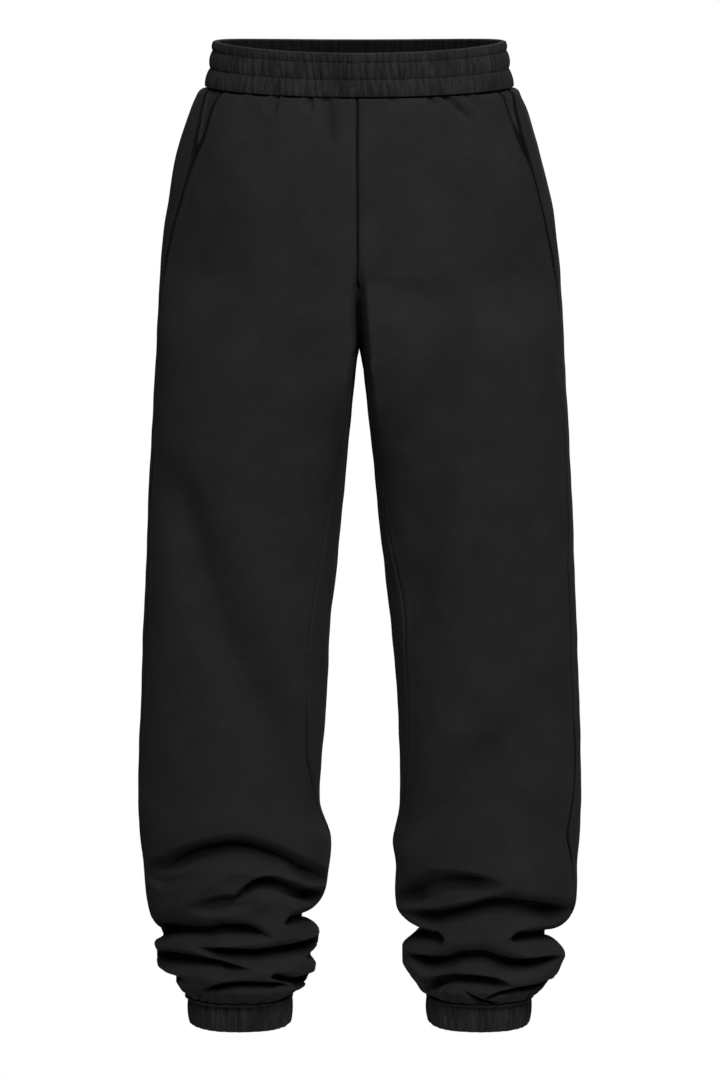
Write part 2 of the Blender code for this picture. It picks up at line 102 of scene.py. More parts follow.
# Level sections: how far forward and back the cloth reaches, where each leg is widest,
# and how far from the middle each leg's outer and inner sides are.
SECTIONS = table(
    "down front widest back left_outer left_inner right_outer right_inner",
    (-26, -103, 2, 104, 148, 0, 148, 0),
    (0, -104, 2, 106, 151, 0, 151, 0),
    (22, -106, 1, 108, 157, 0, 157, 0),
    (27, -108, 1, 110, 162.5, 0, 162.5, 0),
    (34, -110, 1, 112, 166, 0, 166, 0),
    (47, -112, 1, 115, 171, 0, 171, 0),
    (77, -117, 0, 124, 181, 0, 181, 0),
    (108, -121, 1, 130, 190, 0, 190, 0),
    (139, -123, 2, 133, 197, 0, 196, 0),
    (185, -125, 4, 135, 203, 0, 202, 0),
    (232, -125, 5, 133, 206, 0, 205, 0),
    (288, -123, 5, 127, 210, 0, 209, 0),
    (302, -122, 5, 125.5, 211, 2.6, 210, 2.4),
    (322, -120.5, 4.5, 122.5, 212.5, 5.4, 211.5, 5),
    (345, -118, 4, 119, 214, 7.7, 213, 7.2),
    (407, -112, 3, 110, 217, 14, 216, 13),
    (470, -105, 2, 102, 221, 20, 220, 19),
    (532, -99, 1, 95, 223, 27, 222, 25),
    (595, -94, 0, 90, 226, 34, 225, 31),
    (659, -90, 0, 87, 228, 38, 228, 34),
    (723, -87, 1, 87, 231, 41, 230, 39),
    (765, -86, 1, 88, 232, 42, 231, 41),
    (808, -86, 3, 90, 229.5, 36, 227.5, 31),
    (840, -86, 4, 92, 225, 41, 222.5, 35),
    (873, -84, 5, 93, 224, 42, 218, 37),
    (892, -83, 6, 93, 223.5, 41, 216, 38),
    (908, -82, 6, 92, 223.5, 43.5, 215.5, 43),
    (922, -80, 7, 91, 219, 45, 212, 44),
    (936, -79, 6, 90, 212.5, 45, 210, 47),
    (946, -77, 6, 86, 208, 49.5, 202, 49),
    (956, -71, 6, 80, 197, 58, 191, 52),
    (965, -64, 5, 72, 190, 65, 185, 63),
    (970, -58, 3, 62, 182, 74, 181.5, 73),
    (975, -51, 1, 50, 178.5, 73, 178, 72),
    (1003, -51, 1, 50, 178, 73, 177.5, 72),
)

# Seams: the angle that each leg's side seam and inseam lie at.
SEAMS = table(
    "down left_side left_inseam right_side right_inseam",
    (22, 17, 180, 14, 180),
    (41, 21, 180, 20, 180),
    (67, 24, 180, 23, 180),
    (100, 25, 180, 25, 180),
    (162, 21.5, 180, 19.5, 180),
    (205, 17.5, 180, 15, 180),
    (240, 16, 180, 14.5, 180),
    (288, 17, 180, 15, 180),
    (320, 18.5, 168, 16, 162),
    (365, 20.5, 164, 18, 157),
    (440, 23, 158, 20, 151),
    (510, 24, 150, 20, 144),
    (580, 24, 147, 18.5, 139),
    (640, 24, 148, 17, 138),
    (703, 25, 152, 16, 146),
    (748, 30, 161, 15, 160),
    (788, 36, 170, 14, 174),
    (812, 31, 174, 13, 179),
    (846, 20, 177, 11, 180),
    (900, 10, 180, 8, 180),
    (975, 8, 180, 5, 180),
)

# Slanted pocket mouths: the angle of the front panel's edge from the waist to the tack.
MOUTHS = table(
    "down left right",
    (22, 30, 31),
    (62, 29.5, 30.5),
    (105, 25.3, 25.5),
    (150, 22.4, 20.6),
    (205, 17.5, 15),
)

# Folds that run round a leg. Each is a slot below a roll of cloth that droops over it.
# "above" and "below" are how far the cloth turns in on each side and "gap" is the slot's own
# height. "lip" is 1 where the roll above is round and 0 where it is a gentle slope, "soft" is
# 1 where the cloth comes out gently below, and "fade" is the degrees over which an end closes.
# A depth below zero is a ridge.
FOLDS = (
    ("leg", "depth", "above", "gap", "below", "droop", "lip", "soft", "fade", "path"),
    ("right", 24, 20, 12, 19, 3, 0.7, 0.8, 34, (
        (22, 834), (40, 824), (55, 813), (75, 803), (92, 800), (105, 804), (123, 815),
        (139, 827), (174, 846))),
    ("right", 8, 14, 22, 20, 0, 0.0, 1.0, 26, ((12, 838), (30, 832), (46, 826), (78, 812))),
    ("right", -5, 8, 0, 0, 0, 0.0, 0.0, 26, (
        (18, 880), (40, 868), (62, 852), (77, 834), (91, 820), (104, 817), (123, 826),
        (150, 842), (172, 852))),
    ("right", 23, 14, 12, 14, 3, 0.7, 0.5, 18, (
        (84, 857), (94, 846), (101, 839), (108, 836), (115, 837), (126, 843),
        (142, 851), (160, 857), (176, 862))),
    ("right", 12, 13, 8, 14, 0, 0.0, 1.0, 20, ((58, 862), (74, 858), (88, 854), (106, 852))),
    ("right", 25, 26, 9, 14, 4, 1.0, 0.3, 18, (
        (-12, 913), (0, 907), (18, 896), (42, 891), (71, 888), (82, 884), (95, 884),
        (114, 893))),
    ("right", 7, 34, 10, 10, 0, 1.0, 0.3, 14, (
        (-70, 930), (-20, 916), (0, 905), (24, 900), (40, 898))),
    ("right", 23, 32, 8, 17, 2, 1.0, 0.3, 10, (
        (120, 880), (130, 880), (142, 881), (160, 883), (178, 886), (210, 893), (240, 901))),
    ("right", 23, 15, 7, 24, 4, 1.0, 0.8, 26, (
        (60, 902), (77, 905), (90, 907), (104, 909), (123, 908), (141, 908), (160, 909),
        (184, 912))),
    ("right", 20, 17, 9, 17, 3, 0.9, 0.5, 24, (
        (2, 927), (16, 925), (38, 921), (60, 920), (75, 922), (86, 925), (104, 928))),
    ("right", 9, 12, 3, 12, 2, 0.8, 0.6, 24, ((-60, 958), (0, 949), (30, 944), (52, 941))),
    ("right", 17, 12, 6, 12, 3, 0.9, 0.4, 14, (
        (112, 934), (120, 935), (130, 940), (150, 948), (166, 951), (192, 956))),
    ("right", 7, 16, 3, 14, 1, 0.4, 1.0, 26, ((140, 923), (185, 929), (245, 934))),
    ("right", 16, 10, 6, 11, 3, 1.0, 0.4, 18, (
        (56, 954), (68, 949), (80, 945), (93, 943), (108, 944), (124, 947), (138, 953))),
    ("right", 12, 26, 3, 30, 4, 0.8, 1.0, 26, (
        (-180, 812), (-140, 820), (-95, 826), (-50, 818), (-12, 804))),
    ("right", 18, 17, 7, 20, 4, 1.0, 0.6, 26, (
        (-168, 856), (-130, 866), (-80, 868), (-40, 862), (-3, 856))),
    ("right", 20, 16, 10, 18, 4, 1.0, 0.4, 26, (
        (-152, 917), (-130, 910), (-100, 912), (-62, 916), (-30, 906))),
    ("right", 13, 10, 6, 12, 3, 1.0, 0.5, 26, ((-128, 946), (-100, 940), (-76, 944), (-58, 950))),
    ("left", 20, 26, 10, 20, 2, 0.0, 0.8, 26, (
        (178, 870), (165, 864), (150, 856), (135, 848), (120, 841), (106, 837), (96, 836),
        (78, 839))),
    ("left", 26, 19, 11, 34, 4, 0.9, 0.8, 30, (
        (164, 877), (140, 874), (127, 872), (112, 868), (100, 863), (91, 859), (78, 858), (58, 861),
        (34, 868), (10, 874))),
    ("left", 25, 24, 9, 18, 2, 1.0, 0.4, 12, (
        (116, 895), (128, 897), (140, 898), (155, 899), (178, 900), (200, 904), (226, 909))),
    ("left", 30, 30, 8, 24, 3, 1.0, 0.4, 10, (
        (78, 894), (64, 895), (52, 896), (41, 897), (20, 901), (0, 905), (-30, 911),
        (-88, 917))),
    ("left", 25, 16, 9, 22, 4, 1.0, 0.7, 26, (
        (164, 925), (150, 924), (132, 922), (120, 919), (108, 913), (94, 912), (82, 917), (68, 922),
        (53, 923), (34, 924), (20, 926))),
    ("left", 22, 13, 11, 11, 3, 1.0, 0.4, 16, (
        (152, 962), (138, 950), (124, 943), (110, 940), (96, 940), (84, 942), (68, 945))),
    ("left", 12, 8, 4, 9, 2, 1.0, 0.4, 22, (
        (96, 962), (86, 958), (75, 953), (60, 950), (35, 950), (8, 954))),
    ("left", 9, 6, 3, 7, 2, 1.0, 0.4, 12, ((110, 950), (100, 955), (91, 962), (80, 965), (72, 966))),
    ("left", 12, 26, 3, 30, 4, 0.8, 1.0, 26, (
        (-176, 820), (-130, 810), (-85, 806), (-45, 812), (-8, 824))),
    ("left", 18, 17, 7, 20, 4, 1.0, 0.6, 26, (
        (-176, 848), (-130, 860), (-95, 864), (-50, 860), (-18, 850))),
    ("left", 21, 16, 10, 18, 4, 1.0, 0.4, 26, (
        (-176, 908), (-150, 902), (-120, 900), (-90, 904), (-64, 908))),
    ("left", 13, 11, 6, 13, 3, 1.0, 0.5, 26, (
        (-160, 945), (-120, 939), (-95, 940), (-60, 946), (-28, 949))),
)

# Soft troughs that run down a leg. "spread" is half the width of each in millimetres.
TROUGHS = table(
    "leg depth spread down_1 angle_1 down_2 angle_2 down_3 angle_3",
    ("right", 13, 28, 380, 42, 575, 84, 800, 160),
    ("right", -5, 26, 430, 86, 560, 112, 700, 148),
    ("right", -8, 11, 834, 106, 852, 106, 872, 106),
    ("left", 9, 28, 40, 74, 275, 98, 600, 142),
    ("left", 12, 26, 640, 74, 742, 112, 820, 152),
    ("left", -5, 24, 640, 104, 700, 126, 752, 148),
    ("right", 8, 28, 300, -128, 420, -96, 620, -62),
    ("left", 8, 28, 300, -124, 440, -92, 640, -70),
    ("right", 7, 26, 640, -150, 720, -118, 800, -80),
    ("left", 7, 26, 620, -60, 700, -92, 790, -130),
)
# Short puckers below the waist seam, and other small soft valleys and ridges.
PUCKERS = table(
    "leg depth spread down_1 angle_1 down_2 angle_2 down_3 angle_3",
    ("right", 8.2, 3.0, 21, 60, 32, 60, 46, 61),
    ("right", 7.5, 2.8, 21, 73, 30, 73, 42, 74),
    ("right", 6.0, 5.0, 22, 79, 44, 80, 90, 82),
    ("right", 3.5, 2.7, 21, 47, 28, 46, 38, 45),
    ("left", 7.5, 3.0, 21, 64, 29, 64, 40, 65),
    ("left", 10.0, 3.6, 21, 59, 34, 55, 60, 50),
    ("left", 7.5, 3.2, 21, 48, 30, 47, 44, 46),
    ("left", 3.2, 2.7, 21, 78, 28, 78, 36, 78),
    ("right", 5.2, 3.9, 21, -50, 36, -52, 54, -56),
    ("right", 4.5, 3.4, 21, -66, 30, -66, 44, -66),
    ("right", 4.0, 3.4, 21, -79, 32, -79, 44, -80),
    ("left", 5.2, 3.9, 21, -44, 32, -47, 52, -52),
    ("left", 4.3, 3.4, 21, -58, 34, -60, 50, -62),
    ("left", 4.8, 3.9, 21, -74, 30, -75, 48, -76),
    ("right", 6.0, 5.5, 949, 52, 961, 50, 971, 48),
    ("right", 4.5, 5.0, 956, 84, 965, 84, 971, 84),
    ("right", 5.0, 5.0, 956, 112, 964, 112, 971, 111),
    ("right", 5.5, 5.5, 951, 138, 961, 137, 971, 136),
    ("left", 5.5, 5.5, 948, 138, 960, 138, 971, 137),
    ("left", 5.0, 5.0, 951, 122, 962, 121, 971, 121),
    ("left", 4.5, 5.0, 956, 96, 965, 96, 971, 96),
    ("left", 5.5, 5.5, 953, 64, 962, 63, 971, 63),
    ("left", 5.0, 5.5, 954, 44, 963, 44, 971, 45),
)
TROUGH_FADE = 70.0
LEG_RADIUS = 100.0

# How a fold swells above its slot, how round its roll is, and how its ends close.
SWELL = 0.10
ROUNDNESS = 0.55
MERGE = 1.8
END_SPREAD = 0.35
WIDENING = 3.0


def smooth(places, knots, values):
    """A smooth curve through the knots that adds no waves of its own."""
    steps = np.diff(knots)
    slopes = np.diff(values) / steps
    before, after = slopes[:-1], slopes[1:]
    same_way = before * after > 0
    total = np.where(same_way, before + after, 1.0)
    inner = np.where(same_way, 2 * before * after / total, 0.0)
    tangents = np.concatenate([slopes[:1], inner, slopes[-1:]])
    places = np.clip(places, knots[0], knots[-1])
    cell = np.clip(np.searchsorted(knots, places) - 1, 0, len(steps) - 1)
    t = (places - knots[cell]) / steps[cell]
    start = (1 + 2 * t) * (1 - t) ** 2 * values[cell]
    end = t * t * (3 - 2 * t) * values[cell + 1]
    leave = t * (1 - t) ** 2 * steps[cell] * tangents[cell]
    arrive = t * t * (t - 1) * steps[cell] * tangents[cell + 1]
    return start + end + leave + arrive


def ease(t):
    """0 to 1 with soft ends."""
    t = np.clip(t, 0.0, 1.0)
    return t * t * (3 - 2 * t)


def through(x, x1, y1, x2, y2, x3, y3):
    """The parabola through three points."""
    part_1 = y1 * (x - x2) * (x - x3) / ((x1 - x2) * (x1 - x3))
    part_2 = y2 * (x - x1) * (x - x3) / ((x2 - x1) * (x2 - x3))
    part_3 = y3 * (x - x1) * (x - x2) / ((x3 - x1) * (x3 - x2))
    return part_1 + part_2 + part_3


def fork(down, rise, softness=FORK_SOFTNESS):
    """0 where both legs share one section, 1 at the crotch and below."""
    height = np.clip((CROTCH - down) / rise, 0, 1)
    return (1 - height ** softness) ** FORK_CURVE


def rows_of(sheet, leg):
    """The rows of a table that belong to one leg, each as a dictionary."""
    chosen = np.flatnonzero(sheet["leg"] == leg)
    return [{name: sheet[name][row] for name in sheet} for row in chosen]


def slot(past, above, gap, below, lip, soft):
    """The cross-section of a fold: 1 in the slot, turning out to 0 above and below it."""
    over = np.clip((-past - gap / 2) / above, 0, 1)
    under = np.clip((past - gap / 2) / below, 0, 1)
    rolled_over = 1 - (over * (2 - over)) ** ROUNDNESS
    rolled_under = 1 - (under * (2 - under)) ** ROUNDNESS
    sloped = (1 - over) ** 2 * (1 + 2 * over)
    gentle = (1 - under) ** 2 * (1 + 2 * under)
    return np.where(past < 0, lip * rolled_over + (1 - lip) * sloped,
                    soft * gentle + (1 - soft) * rolled_under)


def crease_shift(leg, angle, down):
    """How far in, and how far down, the folds move the cloth."""
    inward = np.zeros_like(angle)
    merged = np.zeros_like(angle)
    drooped = np.zeros_like(angle)
    for side, depth, above, gap, below, droop, lip, soft, fade, path in FOLDS[1:]:
        if side != leg:
            continue
        turns, levels = np.array(sorted(path), dtype=float).T
        middle = (turns[0] + turns[-1]) / 2
        turn = (angle - middle + 180) % 360 - 180 + middle
        line = smooth(turn, turns, levels)
        strength = ease((turn - turns[0]) / fade) * ease((turns[-1] - turn) / fade)
        if depth < 0:
            inward += depth * strength * np.exp(-((down - line) / above) ** 2)
            continue
        from_end = np.minimum(turn - turns[0], turns[-1] - turn)
        spread = END_SPREAD + (1 - END_SPREAD) * ease(from_end / (WIDENING * fade))
        open_here = gap * strength
        past = down - line
        valley = slot(past, above * spread, open_here, below * spread, lip, soft)
        swell = np.exp(-((past + 1.5 * above) / above) ** 2)
        merged += (depth * strength ** 0.8 * valley) ** MERGE
        inward -= SWELL * depth * strength * swell
        roll = (past + 0.45 * above + open_here / 2) / (0.6 * above)
        drooped += droop * strength * np.exp(-roll ** 2)
    return inward + merged ** (1 / MERGE), drooped


def trough_depth(sheet, leg, angle, down):
    """How far in the long troughs move the cloth."""
    inward = np.zeros_like(angle)
    for row in rows_of(sheet, leg):
        path = through(down, row["down_1"], row["angle_1"], row["down_2"], row["angle_2"],
                       row["down_3"], row["angle_3"])
        turn = (angle - path + 180) % 360 - 180
        across = np.radians(turn) * LEG_RADIUS
        fade = min(TROUGH_FADE, (row["down_3"] - row["down_1"]) * 0.6)
        begin = min(TROUGH_FADE, max(1.0, row["down_1"] - WAISTBAND_BOTTOM) * 4)
        strength = ease((down - row["down_1"]) / min(fade, begin))
        strength = strength * ease((row["down_3"] - down) / fade)
        inward += row["depth"] * strength * np.exp(-(across / row["spread"]) ** 2)
    return inward


def surface(leg, angle, down, raised=0.0):
    """Points of the outer face of the cloth, in millimetres."""
    angle, down, raised = np.broadcast_arrays(*np.atleast_1d(angle, down, raised))
    creased, drooped = crease_shift(leg, angle, down)
    inward = creased + trough_depth(TROUGHS, leg, angle, down) - raised
    front, widest, back = (smooth(down, SECTIONS["down"], SECTIONS[name])
                           for name in ("front", "widest", "back"))
    outer = smooth(down, SECTIONS["down"], SECTIONS[leg + "_outer"])
    inner = smooth(down, SECTIONS["down"], SECTIONS[leg + "_inner"])
    turn = np.radians(angle)
    across = (np.cos(turn) - SQUARENESS * np.cos(3 * turn)) / (1 - SQUARENESS)
    forward = (np.sin(turn) + SQUARENESS * np.sin(3 * turn)) / (1 - SQUARENESS)
    rise = np.where(forward > 0, FRONT_RISE, BACK_RISE)
    apart = fork(down, rise)
    thigh = fork(down, rise, THIGH_SOFTNESS)
    middle = np.where(down < CROTCH, outer * thigh / (1 + thigh), (outer + inner) / 2)
    joined = middle / np.maximum(apart, 0.001)
    inner_half = np.where(down < CROTCH, joined, middle - inner)
    inner_half = np.where(apart < 0.001, outer, inner_half)
    reach = np.where(forward > 0, widest - front, back - widest)
    x = np.where(across > 0, outer - middle, inner_half) * across
    y = -reach * forward
    radius = np.hypot(x, y)
    shrink = 1 - inward / radius
    side = 1 if leg == "left" else -1
    dip_here = WAISTBAND_DIP * ease((DIP_FADE - down) / DIP_FADE)
    in_front = np.clip(np.sin(turn), 0, 1) ** 2
    from_middle = side * (middle + x * shrink)
    lean = SEAM_LEAN * in_front * np.exp(-(from_middle / LEAN_WIDTH) ** 2)
    lean = lean * ease((CROTCH - down) / (CROTCH - LEAN_BOTTOM))
    cleft_start, cleft_end, cleft_wide = CLEFT_EDGES[leg]
    opened = ease((down - CLEFT_TOP) / (CLEFT_FULL - CLEFT_TOP))
    cleft_end = cleft_end + (cleft_wide - cleft_end) * opened
    beside = ease((np.abs(from_middle) - cleft_start) / (cleft_end - cleft_start))
    facing_forward = ease((np.sin(turn) - FORWARD_FROM) / FORWARD_OVER)
    cleft = CLEFT_DEPTH * in_front * (1 - beside) * opened
    cleft = cleft * ease((CLEFT_BOTTOM - down) / (CLEFT_BOTTOM - CLEFT_LAST))
    power = 2 + FLAT_FULLNESS * ease((down - FLAT_FULL) / (FLAT_LAST - FLAT_FULL))
    share = np.clip(np.abs(middle + x) / outer, 0, 1)
    flat_front = -(widest - front) * (1 - share ** power) ** (1 / power)
    flatness = ease((down - FLAT_TOP) / (FLAT_FULL - FLAT_TOP))
    flatness = flatness * ease((FLAT_BOTTOM - down) / (FLAT_BOTTOM - FLAT_LAST))
    y = y + flatness * facing_forward * beside * (flat_front - y)
    return np.stack([from_middle - lean,
                     widest + y * shrink + cleft,
                     -(down + drooped + dip_here * in_front)], axis=-1)


def middle_angle(down, rise):
    """The angle at which a section above the crotch crosses the middle of the garment."""
    apart = fork(down, rise)
    turns = np.linspace(90.0, 180.0, 721)
    turn = np.radians(turns)
    across = (np.cos(turn) - SQUARENESS * np.cos(3 * turn)) / (1 - SQUARENESS)
    return np.interp(apart, -across, turns)


def degree_length(leg, angle, down):
    """How many millimetres one degree covers at each of these places."""
    moved = surface(leg, angle + 0.5, down) - surface(leg, angle - 0.5, down)
    return np.linalg.norm(moved, axis=-1)


def front_edges(leg, down):
    """The angles of a front panel's two edges: the side seam or mouth, and the middle."""
    seam = smooth(down, SEAMS["down"], SEAMS[leg + "_side"])
    mouth = smooth(down, MOUTHS["down"], MOUTHS[leg])
    outer_edge = np.where(down < POCKET_BOTTOM, np.maximum(mouth, seam), seam)
    inseam = smooth(down, SEAMS["down"], SEAMS[leg + "_inseam"])
    inner_edge = np.where(down < CROTCH, middle_angle(down, FRONT_RISE), inseam)
    half_gap = SEAM_GAP / 2
    return (outer_edge + half_gap / degree_length(leg, outer_edge, down),
            inner_edge - half_gap / degree_length(leg, inner_edge, down))


def back_edges(leg, down):
    """The angles of a back panel's two edges: the middle or inseam, and the side seam."""
    seam = smooth(down, SEAMS["down"], SEAMS[leg + "_side"])
    inseam = smooth(down, SEAMS["down"], SEAMS[leg + "_inseam"]) - 360
    inner_edge = np.where(down < CROTCH, -middle_angle(down, BACK_RISE), inseam)
    half_gap = SEAM_GAP / 2
    return (inner_edge + half_gap / degree_length(leg, inner_edge, down),
            seam - half_gap / degree_length(leg, seam, down))


# ---------------------------------------------------------------- unevenness of the cloth

def noise(points, size, seed):
    """Soft waves of about this size in every direction, mostly between -1.5 and 1.5."""
    rng = np.random.default_rng(seed)
    total = np.zeros(points.shape[:-1])
    count = 8
    for _ in range(count):
        way = rng.normal(size=3)
        way /= np.linalg.norm(way)
        length = size * rng.uniform(0.7, 1.6)
        total += np.sin(points @ way * (2 * np.pi / length) + rng.uniform(0, 2 * np.pi))
    return total / np.sqrt(count / 2)


def ruffle(turn, count, seed):
    """Ridges side by side all round, from 0 in each furrow to 1, uneven in width."""
    rng = np.random.default_rng(seed)
    turn = np.radians(turn)
    phase = count * turn
    height = np.full(np.shape(turn), 0.75)
    for _ in range(10):
        waves = int(rng.integers(3, max(5, count // 3)))
        phase = phase + 0.13 * count / waves * np.sin(waves * turn + rng.uniform(0, 6.28))
        waves = int(rng.integers(3, max(5, count // 2)))
        height = height + 0.09 * np.sin(waves * turn + rng.uniform(0, 6.28))
    return height * np.abs(np.sin(phase / 2)) ** 0.8


WAIST_FURROWS = 78
CUFF_FURROWS = 26


def relief(leg, angle, down):
    """The small unevenness of a panel: how far the cloth stands out, in millimetres."""
    plain = surface(leg, angle, down)
    ring = angle if leg == "left" else 180 - angle
    raised = 0.55 * noise(plain, 110, 3) + 0.22 * noise(plain, 42, 4)
    raised = raised - trough_depth(PUCKERS, leg, angle, down)
    from_waist = np.maximum(down - WAISTBAND_BOTTOM, 0)
    hanging = noise(plain * np.array([1.0, 1.0, 0.25]), 44, 8)
    raised = raised + 1.9 * hanging * ease(from_waist / 25) * np.exp(-from_waist / 150)
    pulled = ruffle(ring + 0.03 * from_waist, WAIST_FURROWS, 11) - 0.6
    raised = raised + 1.1 * pulled * np.exp(-from_waist / 8)
    from_cuff = CUFF_TOP - down
    pulled = ruffle(ring + 0.1 * from_cuff, CUFF_FURROWS, 21 if leg == "left" else 22) - 0.6
    raised = raised + 5.0 * pulled * np.exp(-(np.maximum(from_cuff, 0) / 24) ** 2)
    return raised


# ---------------------------------------------------------------- meshes

def normals_of(points, closed=False):
    """Unit normals of a grid of points, rows first."""
    if closed:
        wide = np.concatenate([points[:, -1:], points, points[:, :1]], axis=1)
        across = wide[:, 2:] - wide[:, :-2]
    else:
        across = np.gradient(points, axis=1)
    along = np.gradient(points, axis=0)
    normal = np.cross(across, along)
    return normal / np.maximum(np.linalg.norm(normal, axis=-1, keepdims=True), 1e-9)


def outward(normal, points, centre):
    """The normals, turned so that they point away from the centre."""
    return -normal if np.sum(normal * (points - centre)) < 0 else normal


def walked(points, axis, closed=False):
    """The length walked along one axis of a grid, from 0 at its first point."""
    if closed:
        points = np.concatenate([points, np.take(points, [0], axis=axis)], axis=axis)
    steps = np.linalg.norm(np.diff(points, axis=axis), axis=-1)
    total = np.cumsum(steps, axis=axis)
    return np.concatenate([np.zeros_like(np.take(total, [0], axis=axis)), total], axis=axis)


def build(name, points, faces, corner_uvs, material, sharp=60):
    """One mesh object from points in millimetres, faces, and a UV for each face corner."""
    mesh = bpy.data.meshes.new(name)
    mesh.from_pydata((points * MM).tolist(), [], faces)
    layer = mesh.uv_layers.new(name="cloth")
    layer.data.foreach_set("uv", corner_uvs.ravel().astype(np.float32))
    mesh.shade_smooth()
    mesh.set_sharp_from_angle(angle=np.radians(sharp))
    mesh.materials.append(material)
    piece = bpy.data.objects.new(name, mesh)
    bpy.context.scene.collection.objects.link(piece)
    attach(piece, "root")
    return piece


def volume_of(points, faces):
    """Six times the volume inside, below zero where the faces look inwards."""
    total = 0.0
    for sides in set(len(face) for face in faces):
        group = np.array([face for face in faces if len(face) == sides])
        first = points[group[:, 0]]
        for corner in range(1, sides - 1):
            second = points[group[:, corner]]
            third = points[group[:, corner + 1]]
            total += np.einsum("ij,ij->", first, np.cross(second, third))
    return total


def grid_cells(rows, columns):
    """The four corners of each cell of a grid, as (row, column) pairs."""
    row, column = np.meshgrid(np.arange(rows - 1), np.arange(columns - 1), indexing="ij")
    corners = [(row, column), (row + 1, column), (row + 1, column + 1), (row, column + 1)]
    return np.stack([np.stack(pair, axis=-1).reshape(-1, 2) for pair in corners], axis=1)


def add_sheet(name, outer, inner, step, uv, material):
    """A closed thin shell: a fine outer grid, and an inner grid that keeps each step-th."""
    rows, columns = outer.shape[:2]
    keep_rows = np.append(np.arange(0, rows - 1, step), rows - 1)
    keep_columns = np.append(np.arange(0, columns - 1, step), columns - 1)
    kept = np.ix_(keep_rows, keep_columns)
    points = np.concatenate([outer.reshape(-1, 3), inner[kept].reshape(-1, 3)])
    spots = np.concatenate([uv.reshape(-1, 2), uv[kept].reshape(-1, 2)])
    inner_start = rows * columns
    inner_columns = len(keep_columns)
    cells = grid_cells(rows, columns)
    faces = (cells[..., 0] * columns + cells[..., 1]).tolist()
    cells = grid_cells(len(keep_rows), inner_columns)[:, ::-1]
    faces += (inner_start + cells[..., 0] * inner_columns + cells[..., 1]).tolist()

    def rim(kept_places, outer_at, inner_at, flip):
        for number in range(len(kept_places) - 1):
            run = range(kept_places[number], kept_places[number + 1] + 1)
            face = [outer_at(place) for place in run] + [inner_at(number + 1), inner_at(number)]
            faces.append(face[::-1] if flip else face)

    for row, last, flip in ((0, 0, False), (rows - 1, len(keep_rows) - 1, True)):
        rim(keep_columns, lambda c, row=row: row * columns + c,
            lambda n, last=last: inner_start + last * inner_columns + n, flip)
    for column, last, flip in ((0, 0, True), (columns - 1, inner_columns - 1, False)):
        rim(keep_rows, lambda r, column=column: r * columns + column,
            lambda n, last=last: inner_start + n * inner_columns + last, flip)
    if volume_of(points, faces) < 0:
        faces = [face[::-1] for face in faces]
    return build(name, points, faces, spots[np.concatenate(faces)], material)


def add_ring(name, points, uv, material):
    """A mesh closed both ways: profile points down the rows, round the leg across."""
    rows, columns = points.shape[:2]
    cells = grid_cells(rows + 1, columns + 1)
    faces = (cells[..., 0] % rows * columns + cells[..., 1] % columns).tolist()
    spots = uv[cells[..., 0], cells[..., 1]]
    flat = points.reshape(-1, 3)
    if volume_of(flat, faces) < 0:
        faces = [face[::-1] for face in faces]
        spots = spots[:, ::-1]
    return build(name, flat, faces, spots, material)


# ---------------------------------------------------------------- materials

WALE = 0.0011
COURSE = 0.0009
KNIT = 0.03


def matt_material(name, roughness, specular):
    """A new material with its nodes, its links and a matt shader."""
    material = bpy.data.materials.new(name)
    material.use_nodes = True
    nodes, links = material.node_tree.nodes, material.node_tree.links
    shader = nodes["Principled BSDF"]
    shader.inputs["Metallic"].default_value = 0.0
    shader.inputs["Roughness"].default_value = roughness
    shader.inputs["Specular IOR Level"].default_value = specular
    return material, nodes, links, shader


def grey_ramp(nodes, low, high):
    """A ramp between two greys."""
    ramp = nodes.new("ShaderNodeValToRGB")
    for element, grey in zip(ramp.color_ramp.elements, (low, high)):
        element.color = (grey, grey, grey, 1.0)
    return ramp


